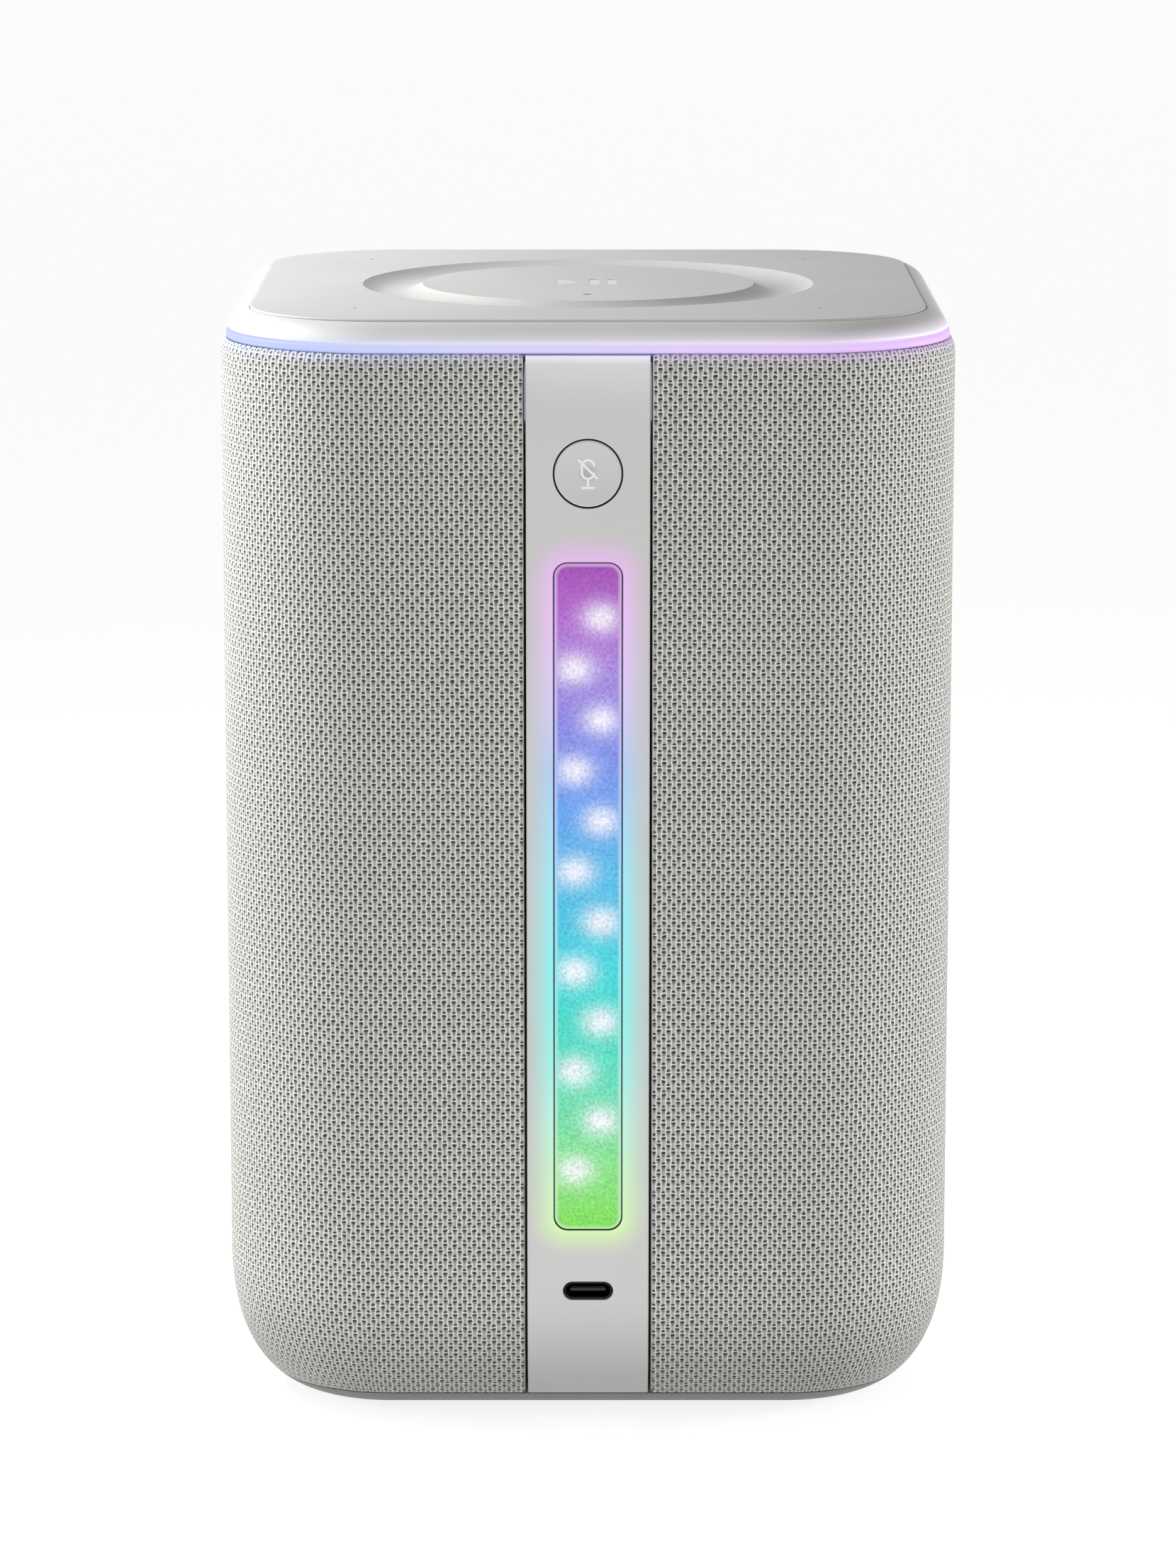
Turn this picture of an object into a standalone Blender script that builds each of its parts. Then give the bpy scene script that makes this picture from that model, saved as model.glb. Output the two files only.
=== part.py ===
"""A table-top smart speaker with a knitted sleeve, a lit rear spine and a touch top, as separate pieces.

Metres, +Z up. The origin is the middle of the footprint, at the surface that the speaker stands on.
The rear spine, with the mute button, the light bar and the power inlet, faces -Y; the woofer faces +Y.
"""
import math

import bmesh
import bpy
from mathutils import Matrix, Vector

# Whole body
HEIGHT = 0.2070
BODY_HALF = 0.0682            # half the width over the sleeve
BODY_CORNER = 0.0310          # plan corner radius over the sleeve
GAP = 0.0003                  # clearance between neighbours
CORNER_STEPS = 7              # segments in one plan corner
SMALLEST_CORNER = 0.00005
PILL = 0.999                  # corner share of a pill's half height, just under 1 so no edge has zero length
CUT_MARGIN = 0.0020           # how far a cutter runs on past what it cuts
JOIN_DEPTH = 0.0010           # how far a joined body reaches into the one that it joins
BASE_INSET = 0.0185           # the rounding under the body: how far in it runs
BASE_RISE = 0.0274            # and how far up
BASE_POWER = 2.29             # superellipse power of that rounding
BASE_STEPS = 6

# Sleeve and the grille shell under it
SLEEVE_LOW = 0.0040
SLEEVE_TOP = 0.2010
SLEEVE_THICK = 0.0010
SLEEVE_CURL_IN = 0.0011
SLEEVE_CURL_RISE = 0.0030
SLEEVE_CURL_END = math.radians(78)
SHELL_OFFSET = SLEEVE_THICK + GAP
SHELL_THICK = 0.0020
SHELL_TOP = 0.1990
SHELL_FLANGE_LOW = 0.1974
SHELL_FLANGE_INSET = BODY_HALF - 0.0577
SHELL_WINDOW = (0.0196, 0.0190)
SHELL_WINDOW_PITCH = (0.0235, 0.0250)
SHELL_WINDOW_GRID = (3, 6)
SHELL_WINDOW_FIRST = 0.0450
SHELL_WINDOW_DEPTH = 0.0120
SHELL_WINDOW_OUT = 0.0025     # how far the window cutter stands out of the wall

# Rear spine
SPINE_WIDTH = 0.0226
SPINE_THICK = 0.0022
SPINE_TOP = 0.2010
SLOT_WIDTH = SPINE_WIDTH + 2 * GAP
SPINE_CUT_BACK = BODY_HALF - 0.0050

# Light bar in the spine
BAR_HALF = (0.00612, 0.06260)
BAR_CORNER = 0.0024
BAR_CENTRE = 0.1005
BAR_RECESS = 0.0001
BAR_FLANGE = 0.0015
BAR_FLANGE_THICK = 0.0009
LED_COUNT = 12
LED_PITCH = 0.009445
LED_FIRST = 0.1531
LED_STAGGER = 0.00245
LED_SIZE = (0.0050, 0.0050, 0.0014)
LED_EDGE = 0.0002
REFLECTOR_OUTER = (0.0080, 0.0645)
REFLECTOR_INNER = (0.0055, 0.0620)
REFLECTOR_CORNERS = (0.0030, 0.0015)
REFLECTOR_FRONT = 0.0645
REFLECTOR_BACK = 0.0600
REAR_BOARD_FRONT = 0.0596
REAR_BOARD_THICK = 0.0012
REAR_BOARD_HALF_WIDTH = 0.0090
REAR_BOARD_LOW = 0.0170
REAR_BOARD_TOP = 0.1860
REAR_BOARD_CORNER = 0.0010

# Mute button
MUTE_HEIGHT = 0.1796
MUTE_RADIUS = 0.0061
MUTE_FLANGE = 0.0074
MUTE_FLANGE_THICK = 0.0008
MUTE_DISH = 0.00045
MUTE_DISH_LINE = ((0.0, 1.0), (0.50, 0.75), (0.86, 0.20))    # share of the radius, share of the dish's depth
MUTE_EDGE = 0.0003
SWITCH_HALF = 0.0030
SWITCH_CORNER = 0.0005
SWITCH_FRONT = 0.0634
PLUNGER_RADIUS = 0.0017
PLUNGER_BACK = 0.0620
SWITCH_HOLE_FLOOR = 0.0612

# Power inlet
USB_HEIGHT = 0.0260
USB_HALF = (0.00447, 0.00158)
USB_WALL = 0.0003
USB_CLEARANCE = 0.0002
USB_MOUTH = 0.0677
USB_TONGUE = (0.003345, 0.00035)
USB_TONGUE_FRONT = 0.0670
USB_BLOCK = (0.00387, 0.00098)
USB_BLOCK_FRONT = 0.0622
USB_BLOCK_CORNER = 0.0008
USB_TONGUE_CORNER = 0.0003

# Base tray, foot pad and screws
FOOT_HALF = 0.0495
FOOT_CORNER = 0.0123
FOOT_THICK = 0.0015
FOOT_EDGE = 0.0004
TRAY_LOW = 0.0005
TRAY_SEAT = FOOT_THICK + GAP
TRAY_TOP = 0.0037
TRAY_SKIN = 0.0022
TRAY_FLOOR = 0.0042
SPIGOT_HALF = 0.0555
SPIGOT_WALL = 0.0018
SPIGOT_TOP = 0.0100
SCREW_PLACES = [(x, y) for x in (-0.0380, 0.0380) for y in (-0.0370, 0.0370)]
POST_RADIUS = 0.0045
POST_TOP = 0.0117
SCREW_RADIUS = 0.0015
SCREW_TOP = 0.0180
SCREW_HEAD = 0.0030
SCREW_HEAD_LOW = 0.0021
SCREW_HEAD_TOP = 0.0041
SCREW_HEAD_EDGE = 0.0005
SCREW_HEAD_FLAT = 0.8         # share of the head's radius that is flat
SCREW_POINT = (0.5, 0.0010)   # share of the radius at the tip, and how long the tip is

# Top: light ring, shoulder frame, touch plate
RING_LOW = 0.20135
RING_TOP = 0.20275
RING_INSET = BODY_HALF - 0.0672
RING_REACH = BODY_HALF - 0.0580
RING_EDGE = 0.0003
RING_BOARD_INSETS = (BODY_HALF - 0.0625, BODY_HALF - 0.0582)
RING_BOARD_LOW = SHELL_TOP + GAP
RING_BOARD_THICK = 0.0010
FRAME_LOW = 0.20305
FRAME_TOP = 0.2066
FRAME_INSET = BODY_HALF - 0.0668
FRAME_TOP_INSET = BODY_HALF - 0.0630
FRAME_WALL = 0.0004           # the upright edge under the shoulder's curve
FRAME_POWER = 1.45
FRAME_STEPS = 4
FRAME_EDGE = 0.0003
SEAT_INSET = BODY_HALF - 0.0629
SEAT_HEIGHT = 0.2042
SEAT_REACH = BODY_HALF - 0.0480
SKIRT_INSETS = (BODY_HALF - 0.0574, BODY_HALF - 0.0554)
SKIRT_LOW = 0.1880
PLATE_INSET = BODY_HALF - 0.0626
PLATE_LOW = SEAT_HEIGHT + GAP
PLATE_EDGE = 0.0003
PLATE_BOSS_RADIUS = 0.0460
PLATE_BOSS_LOW = 0.2026
GROOVE_RADII = (0.0318, 0.0432)
GROOVE_DEPTH = 0.0018
GROOVE_POWER = 2.4
GROOVE_STEPS = 7
MIC_PLACES = [(x, y) for x in (-0.0430, 0.0430) for y in (-0.0436, 0.0436)]
MIC_HOLE = 0.0005
MIC_SIZE = (0.0035, 0.0027, 0.0011)
STATUS_Y = -0.0205
STATUS_HOLE = 0.0008
STATUS_LENS = 0.0005
STATUS_FLANGE = (0.0020, 0.0010)
STATUS_TOP = HEIGHT - 0.0002
TOUCH_BOARD_HALF = 0.0520
TOUCH_BOARD_CORNER = 0.0150
TOUCH_BOARD_THICK = 0.0012
TOUCH_BOARD_LOW = PLATE_BOSS_LOW - GAP - TOUCH_BOARD_THICK

# Sealed cabinet
CABINET_HALF = (0.0565, 0.05575)
CABINET_Y = -0.00075
CABINET_CORNER = 0.0180
CABINET_LOW = 0.0120
CABINET_TOP = 0.1680
CABINET_WALL = 0.0030
CABINET_CHAMFER = 0.0020
CABINET_CUT = (0.0450, 0.0650)
BOSS_TOP = 0.0200
BOSS_HOLE_TOP = 0.0186
LID_THICK = 0.0030
LID_SPIGOT_LOW = 0.1655
STANDOFF_PLACES = [(x, y) for x in (-0.0430, 0.0430) for y in (-0.0410, 0.0400)]
STANDOFF_RADIUS = 0.0030
BOARD_HALF = (0.0480, 0.0460)
BOARD_CORNER = 0.0050
BOARD_LOW = 0.1760
BOARD_THICK = 0.0016
CAN_HALF = 0.0160
CAN_THICK = 0.0027
CAN_CORNER = 0.0010
CAN_EDGE = 0.0004
SINK_HALF = (0.0300, 0.0240)
SINK_BASE = 0.0021
SINK_TOP = 0.1940
SINK_FINS = 9
SINK_FIN_THICK = 0.0014
FLEX_HALF_WIDTH = 0.0050
FLEX_THICK = 0.0003
FLEX_BEND = 0.0030
FLEX_STEPS = 4
FLEX_TOP = 0.1850
FLEX_END = -0.0420
TOP_FLEX_SPAN = (0.0340, 0.0430)

# Drive units, turned about their own axis. Heights on that axis are measured from the body's middle
FRONT_FACE = CABINET_Y + CABINET_HALF[1]
UNIT_SEAT = FRONT_FACE + GAP
FLANGE_THICK = 0.0025
UNIT_FACE = UNIT_SEAT + FLANGE_THICK
ROUND_STEPS = 24

# Woofer: (radius, height) points
WOOFER_HEIGHT = 0.0720
WOOFER_HOLE = 0.0345
WOOFER_THROAT = 0.0280
BASKET_BACK = WOOFER_THROAT + 0.0020
BASKET = ((0.0383, UNIT_SEAT), (0.0383, UNIT_FACE), (0.0340, UNIT_FACE), (0.0318, UNIT_FACE - 0.0030),
          (0.0190, BASKET_BACK), (0.0122, BASKET_BACK), (0.0122, WOOFER_THROAT), (0.0205, WOOFER_THROAT),
          (0.0338, UNIT_SEAT - 0.0025), (0.0338, UNIT_SEAT))
BASKET_WINDOWS = 5
BASKET_WINDOW = (0.0160, 0.0120, 0.0130)
BASKET_WINDOW_PLACE = (0.0280, 0.0, (WOOFER_THROAT + UNIT_FACE) / 2 + 0.0015)
CONE = ((0.0, 0.0470), (0.0060, 0.0462), (0.0098, 0.0438), (0.0105, 0.0425), (0.0200, 0.0480),
        (0.0298, 0.0563))
CONE_THICK = 0.0007
COIL = ((0.0098, 0.0420), (0.0104, 0.0420), (0.0104, 0.0240), (0.0098, 0.0240))
SURROUND_EDGES = ((0.0302, UNIT_FACE + 0.0001), (0.0378, UNIT_FACE + GAP))
SURROUND_ROLL = (0.0306, 0.0346)
SURROUND_RISE = 0.0022
SURROUND_THICK = 0.0006
SPIDER_START = (0.0108, 0.0370)
SPIDER_WAVES = 5
SPIDER_WAVE = (0.0022, 0.0008)
SPIDER_THICK = 0.0004
MAGNET_FACE = WOOFER_THROAT - GAP
MAGNET = ((0.0, 0.0085), (0.0190, 0.0085), (0.0200, 0.0095), (0.0200, MAGNET_FACE), (0.0115, MAGNET_FACE),
          (0.0115, 0.0130), (0.0092, 0.0130), (0.0092, MAGNET_FACE + 0.0010), (0.0, MAGNET_FACE + 0.0010))

# Tweeter: (radius, height) points
TWEETER_HEIGHT = 0.1360
TWEETER_HOLE = 0.0185
TWEETER_MOTOR_FACE = UNIT_SEAT - 0.0032
TWEETER_COLLAR = TWEETER_MOTOR_FACE + GAP
TWEETER_PLATE = ((0.0220, UNIT_SEAT), (0.0220, UNIT_FACE - 0.0004), (0.0216, UNIT_FACE), (0.0175, UNIT_FACE),
                 (0.0140, UNIT_FACE - 0.0018), (0.0140, TWEETER_COLLAR), (0.0178, TWEETER_COLLAR),
                 (0.0178, UNIT_SEAT))
DOME_BASE = UNIT_SEAT - 0.0018
DOME_COIL_END = DOME_BASE - 0.0040
DOME = ((0.0, DOME_BASE + 0.0045), (0.0045, DOME_BASE + 0.0040), (0.0085, DOME_BASE + 0.0024),
        (0.0109, DOME_BASE + 0.0003), (0.0120, DOME_BASE + 0.0010), (0.0132, DOME_BASE + 0.0003),
        (0.0132, DOME_BASE - 0.0001), (0.0120, DOME_BASE + 0.0006), (0.0111, DOME_BASE - 0.0001),
        (0.0111, DOME_COIL_END), (0.0107, DOME_COIL_END), (0.0107, DOME_BASE), (0.0083, DOME_BASE + 0.0020),
        (0.0044, DOME_BASE + 0.0036), (0.0, DOME_BASE + 0.0041))
TWEETER_GAP_FLOOR = DOME_COIL_END - 0.0010
TWEETER_MOTOR = ((0.0, 0.0350), (0.0150, 0.0350), (0.0160, 0.0360), (0.0160, TWEETER_MOTOR_FACE),
                 (0.0115, TWEETER_MOTOR_FACE), (0.0115, TWEETER_GAP_FLOOR), (0.0103, TWEETER_GAP_FLOOR),
                 (0.0103, TWEETER_MOTOR_FACE), (0.0, TWEETER_MOTOR_FACE))

# Passive radiators: (radius, height) points, heights from the body's middle along X
RADIATOR_HEIGHT = 0.0750
RADIATOR_HOLE = 0.0330
RADIATOR_WALL = CABINET_HALF[0]
RADIATOR_SEAT = RADIATOR_WALL + GAP
RADIATOR_PLATE = ((0.0, RADIATOR_WALL - 0.0040), (0.0110, RADIATOR_WALL - 0.0040),
                  (0.0120, RADIATOR_WALL - 0.0030), (0.0120, RADIATOR_WALL - 0.0008),
                  (0.0250, RADIATOR_WALL - 0.0008), (0.0250, RADIATOR_WALL + 0.0006),
                  (0.0, RADIATOR_WALL + 0.0006))
RADIATOR_EDGES = ((0.0253, RADIATOR_SEAT), (0.0372, RADIATOR_SEAT))
RADIATOR_ROLL = (0.0262, 0.0330)
RADIATOR_RISE = 0.0030
RADIATOR_THICK = 0.0007


def clear_scene():
    for item in list(bpy.data.objects):
        bpy.data.objects.remove(item, do_unlink=True)


def make_material(name, colour, roughness, metallic=0.0):
    material = bpy.data.materials.new(name)
    material.use_nodes = True
    shader = material.node_tree.nodes["Principled BSDF"]
    shader.inputs["Base Color"].default_value = (*colour, 1.0)
    shader.inputs["Roughness"].default_value = roughness
    shader.inputs["Metallic"].default_value = metallic
    return material


def finish(name, bm, material=None, smooth=math.radians(38)):
    """Turns a bmesh into a linked object with outward faces."""
    bmesh.ops.recalc_face_normals(bm, faces=bm.faces)
    mesh = bpy.data.meshes.new(name)
    bm.to_mesh(mesh)
    bm.free()
    mesh.shade_smooth()
    mesh.set_sharp_from_angle(angle=smooth)
    obj = bpy.data.objects.new(name, mesh)
    bpy.context.scene.collection.objects.link(obj)
    if material:
        mesh.materials.append(material)
    return obj


def rounded_loop(bm, half_x, half_y, corner, z, steps=CORNER_STEPS, centre=(0.0, 0.0)):
    """A rounded rectangle of vertices, anticlockwise from the +X side."""
    corner = max(corner, SMALLEST_CORNER)
    verts = []
    for quarter in range(4):
        middle = math.radians(45 + 90 * quarter)
        cx = math.copysign(half_x - corner, math.cos(middle))
        cy = math.copysign(half_y - corner, math.sin(middle))
        for step in range(steps + 1):
            angle = math.radians(90 * quarter + 90 * step / steps)
            x = centre[0] + cx + corner * math.cos(angle)
            y = centre[1] + cy + corner * math.sin(angle)
            verts.append(bm.verts.new((x, y, z)))
    return verts


def bridge(bm, first, second):
    count = len(first)
    for index in range(count):
        following = (index + 1) % count
        bm.faces.new((first[index], first[following], second[following], second[index]))


def loft(name, rings, material=None, steps=CORNER_STEPS, centre=(0.0, 0.0)):
    """A solid through rounded rectangles (half_x, half_y, corner, z), closed by a face at each end."""
    bm = bmesh.new()
    loops = [rounded_loop(bm, *ring, steps=steps, centre=centre) for ring in rings]
    for first, second in zip(loops, loops[1:]):
        bridge(bm, first, second)
    bm.faces.new(loops[0])
    bm.faces.new(loops[-1])
    return finish(name, bm, material)


def inset_ring(inset, z):
    """The body's plan outline, moved in by inset."""
    return (BODY_HALF - inset, BODY_HALF - inset, BODY_CORNER - inset, z)


def ring_sweep(name, section, material=None):
    """A closed section of (inset, z) points swept round the body's plan outline."""
    bm = bmesh.new()
    loops = [rounded_loop(bm, *inset_ring(inset, z)) for inset, z in section]
    for first, second in zip(loops, loops[1:] + loops[:1]):
        bridge(bm, first, second)
    return finish(name, bm, material)


def turn(name, profile, material=None, steps=ROUND_STEPS):
    """A profile of (radius, height) points spun about local Z. It is closed, or ends on the axis."""
    bm = bmesh.new()
    verts = [bm.verts.new((radius, 0.0, height)) for radius, height in profile]
    pairs = list(zip(verts, verts[1:]))
    if profile[0][0] > 0 or profile[-1][0] > 0:
        pairs.append((verts[-1], verts[0]))
    edges = [bm.edges.new(pair) for pair in pairs]
    bmesh.ops.spin(bm, geom=verts + edges, cent=(0, 0, 0), axis=(0, 0, 1), angle=math.tau,
                   steps=steps, use_merge=True)
    bmesh.ops.remove_doubles(bm, verts=bm.verts, dist=0.000001)
    return finish(name, bm, material)


def extrude_outline(name, outline, half_width, material=None):
    """A closed outline of (y, z) points, extruded along X by half_width each way."""
    bm = bmesh.new()
    verts = [bm.verts.new((-half_width, y, z)) for y, z in outline]
    face = bm.faces.new(verts)
    moved = bmesh.ops.extrude_face_region(bm, geom=[face])["geom"]
    new_verts = [item for item in moved if isinstance(item, bmesh.types.BMVert)]
    bmesh.ops.translate(bm, verts=new_verts, vec=(2 * half_width, 0, 0))
    return finish(name, bm, material)


def add_box(bm, size, centre):
    matrix = Matrix.Translation(centre) @ Matrix.Diagonal((*size, 1.0))
    bmesh.ops.create_cube(bm, size=1.0, matrix=matrix)


def add_rod(bm, radius, low, high, place, steps=16):
    matrix = Matrix.Translation((place[0], place[1], (low + high) / 2))
    bmesh.ops.create_cone(bm, cap_ends=True, segments=steps, radius1=radius, radius2=radius,
                          depth=high - low, matrix=matrix)


def rods(name, places, radius, low, high, steps=16):
    """Separate upright cylinders in one mesh, for a cut or a join."""
    bm = bmesh.new()
    for place in places:
        add_rod(bm, radius, low, high, place, steps)
    return finish(name, bm)


def boolean(target, tool, operation="DIFFERENCE"):
    """Cuts or joins with a helper object, which stays hidden."""
    modifier = target.modifiers.new(tool.name, "BOOLEAN")
    modifier.object = tool
    modifier.operation = operation
    modifier.solver = "EXACT"
    tool.hide_render = True
    tool.display_type = "WIRE"


def face_rear(obj, height, depth=0.0):
    """Local +Z points out of the spine side (-Y), local +Y points up."""
    obj.rotation_euler = (math.radians(90), 0, 0)
    obj.location = (0, depth, height)
    return obj


def face_front(obj, height):
    """Local +Z points out of the woofer side (+Y); local zero is the world's Y zero."""
    obj.rotation_euler = (math.radians(-90), 0, 0)
    obj.location = (0, 0, height)
    return obj


def base_curve(low, offset):
    """(inset, z) points of the base rounding from the height low up to the wall, moved in by offset."""
    start = math.asin((1 - low / BASE_RISE) ** (BASE_POWER / 2))
    return corner_curve(BASE_INSET, BASE_RISE, BASE_POWER, start, 0.0, BASE_STEPS, offset)


def corner_curve(inset, rise, power, start, end, steps, offset=0.0):
    """A superellipse corner. Angle 0 is where it leaves the wall, a right angle is its flat end."""
    points = []
    for step in range(steps + 1):
        angle = start + (end - start) * step / steps
        across = math.cos(angle) ** (2 / power)
        along = math.sin(angle) ** (2 / power)
        normal = Vector((across ** (power - 1) / inset, along ** (power - 1) / rise)).normalized()
        points.append((inset * (1 - across) + offset * normal.x, rise * (1 - along) + offset * normal.y))
    return points


def sleeve_side(offset):
    """One face of the sleeve, from the hem to the curled top edge."""
    curl = corner_curve(SLEEVE_CURL_IN, SLEEVE_CURL_RISE, 2.0, 0.0, SLEEVE_CURL_END, 3, offset)
    return base_curve(SLEEVE_LOW, offset) + [(inset, SLEEVE_TOP - depth) for inset, depth in curl]


def slot_cutter(name):
    bm = bmesh.new()
    add_box(bm, (SLOT_WIDTH, BODY_HALF, 2 * HEIGHT), (0, -BODY_HALF, HEIGHT / 2))
    return finish(name, bm)


def make_sleeve(material):
    sleeve = ring_sweep("fabric_sleeve", sleeve_side(0.0) + sleeve_side(SLEEVE_THICK)[::-1], material)
    boolean(sleeve, slot_cutter("sleeve_slot"))


def window_cutter(name, rotation):
    """A grid of windows that opens the wall facing local +Y."""
    bm = bmesh.new()
    columns, rows = SHELL_WINDOW_GRID
    width, height = SHELL_WINDOW
    for column in range(columns):
        for row in range(rows):
            x = (column - (columns - 1) / 2) * SHELL_WINDOW_PITCH[0]
            z = SHELL_WINDOW_FIRST + row * SHELL_WINDOW_PITCH[1]
            y = BODY_HALF + SHELL_WINDOW_OUT - SHELL_WINDOW_DEPTH / 2
            add_box(bm, (width, SHELL_WINDOW_DEPTH, height), (x, y, z))
    cutter = finish(name, bm)
    cutter.rotation_euler = (0, 0, rotation)
    return cutter


def make_grille_shell(material):
    outer = base_curve(SLEEVE_LOW, SHELL_OFFSET) + [(SHELL_OFFSET, SHELL_TOP)]
    inner_offset = SHELL_OFFSET + SHELL_THICK
    inner = base_curve(SLEEVE_LOW, inner_offset) + [(inner_offset, SHELL_FLANGE_LOW)]
    inner += [(SHELL_FLANGE_INSET, SHELL_FLANGE_LOW), (SHELL_FLANGE_INSET, SHELL_TOP)]
    shell = ring_sweep("grille_shell", outer + inner[::-1], material)
    boolean(shell, slot_cutter("shell_slot"))
    for side, turn_angle in (("front", 0.0), ("left", math.pi / 2), ("right", -math.pi / 2)):
        boolean(shell, window_cutter("shell_windows_" + side, turn_angle))


def rounded_plug(name, half, corner, front, back, steps=4):
    """A rounded bar along Y, for a cut through the spine. Front and back are distances towards -Y."""
    return loft(name, [(*half, corner, back), (*half, corner, front)], steps=steps)


def make_spine(material):
    outer = base_curve(SLEEVE_LOW, 0.0) + [(0.0, SPINE_TOP)]
    inner = base_curve(SLEEVE_LOW, SPINE_THICK) + [(SPINE_THICK, SPINE_TOP)]
    outline = [(inset - BODY_HALF, z) for inset, z in outer + inner[::-1]]
    spine = extrude_outline("rear_spine", outline, SPINE_WIDTH / 2, material)
    bar_half = (BAR_HALF[0] + GAP, BAR_HALF[1] + GAP)
    front, back = BODY_HALF + CUT_MARGIN, SPINE_CUT_BACK
    bar = rounded_plug("spine_bar_slot", bar_half, BAR_CORNER + GAP, front, back)
    boolean(spine, face_rear(bar, BAR_CENTRE))
    hole = rods("spine_button_hole", [(0, 0)], MUTE_RADIUS + GAP, back, front, ROUND_STEPS)
    boolean(spine, face_rear(hole, MUTE_HEIGHT))
    usb_half = (USB_HALF[0] + USB_CLEARANCE, USB_HALF[1] + USB_CLEARANCE)
    usb = rounded_plug("spine_usb_hole", usb_half, usb_half[1] * PILL, front, back)
    boolean(spine, face_rear(usb, USB_HEIGHT))


def make_light_bar(diffuser, white, board, led_material):
    front = BODY_HALF - BAR_RECESS
    back = BODY_HALF - SPINE_THICK - GAP
    flange_half = (BAR_HALF[0] + BAR_FLANGE, BAR_HALF[1] + BAR_FLANGE)
    flange_corner = BAR_CORNER + BAR_FLANGE
    rings = [
        (*flange_half, flange_corner, back - BAR_FLANGE_THICK),
        (*flange_half, flange_corner, back),
        (*BAR_HALF, BAR_CORNER, back),
        (*BAR_HALF, BAR_CORNER, front),
    ]
    face_rear(loft("light_bar_window", rings, diffuser, steps=4), BAR_CENTRE)

    outer_corner, inner_corner = REFLECTOR_CORNERS
    bm = bmesh.new()
    loops = []
    for half, corner, z in ((REFLECTOR_OUTER, outer_corner, REFLECTOR_BACK),
                            (REFLECTOR_OUTER, outer_corner, REFLECTOR_FRONT),
                            (REFLECTOR_INNER, inner_corner, REFLECTOR_FRONT),
                            (REFLECTOR_INNER, inner_corner, REFLECTOR_BACK)):
        loops.append(rounded_loop(bm, *half, corner, z, steps=3))
    for first, second in zip(loops, loops[1:] + loops[:1]):
        bridge(bm, first, second)
    face_rear(finish("light_reflector", bm, white), BAR_CENTRE)

    board_half = (REAR_BOARD_TOP - REAR_BOARD_LOW) / 2
    board_size = (REAR_BOARD_HALF_WIDTH, board_half, REAR_BOARD_CORNER)
    board_rings = [(*board_size, REAR_BOARD_FRONT - REAR_BOARD_THICK), (*board_size, REAR_BOARD_FRONT)]
    face_rear(loft("rear_board", board_rings, board, steps=2), (REAR_BOARD_TOP + REAR_BOARD_LOW) / 2)

    bm = bmesh.new()
    add_box(bm, LED_SIZE, (0, 0, REAR_BOARD_FRONT + GAP + LED_SIZE[2] / 2))
    bmesh.ops.bevel(bm, geom=list(bm.edges), offset=LED_EDGE, segments=1, affect="EDGES")
    first_led = face_rear(finish("led_01", bm, led_material), LED_FIRST)
    first_led.location.x = LED_STAGGER
    for index in range(1, LED_COUNT):
        led = bpy.data.objects.new("led_%02d" % (index + 1), first_led.data)
        bpy.context.scene.collection.objects.link(led)
        face_rear(led, LED_FIRST - index * LED_PITCH)
        led.location.x = LED_STAGGER if index % 2 == 0 else -LED_STAGGER


def make_mute(button_material, switch_material, plunger_material):
    """The button and the plunger that it pushes share one axis along Y."""
    axis = bpy.data.objects.new("mute_axis", None)
    bpy.context.scene.collection.objects.link(axis)
    axis.location = (0, 0, MUTE_HEIGHT)
    face = BODY_HALF
    flange_front = BODY_HALF - SPINE_THICK - GAP
    flange_back = flange_front - MUTE_FLANGE_THICK
    profile = [(MUTE_RADIUS * share, face - MUTE_DISH * depth) for share, depth in MUTE_DISH_LINE]
    profile += [(MUTE_RADIUS - MUTE_EDGE, face), (MUTE_RADIUS, face - MUTE_EDGE), (MUTE_RADIUS, flange_front)]
    profile += [(MUTE_FLANGE, flange_front)]
    profile += [(MUTE_FLANGE, flange_back), (0, flange_back)]
    button = face_rear(turn("mute_button", profile, button_material), 0)
    button.parent = axis
    plunger_front = flange_back - GAP
    plunger_profile = [(0, plunger_front), (PLUNGER_RADIUS, plunger_front), (PLUNGER_RADIUS, PLUNGER_BACK)]
    plunger_profile += [(0, PLUNGER_BACK)]
    plunger = face_rear(turn("mute_switch_plunger", plunger_profile, plunger_material, 16), 0)
    plunger.parent = axis
    low = REAR_BOARD_FRONT + GAP
    size = (SWITCH_HALF, SWITCH_HALF, SWITCH_CORNER)
    rings = [(*size, low), (*size, SWITCH_FRONT)]
    body = face_rear(loft("mute_switch_body", rings, switch_material, steps=2), MUTE_HEIGHT)
    hole_front = SWITCH_FRONT + CUT_MARGIN
    hole = rods("switch_hole", [(0, 0)], PLUNGER_RADIUS + GAP, SWITCH_HOLE_FLOOR, hole_front, 16)
    boolean(body, face_rear(hole, MUTE_HEIGHT))


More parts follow.
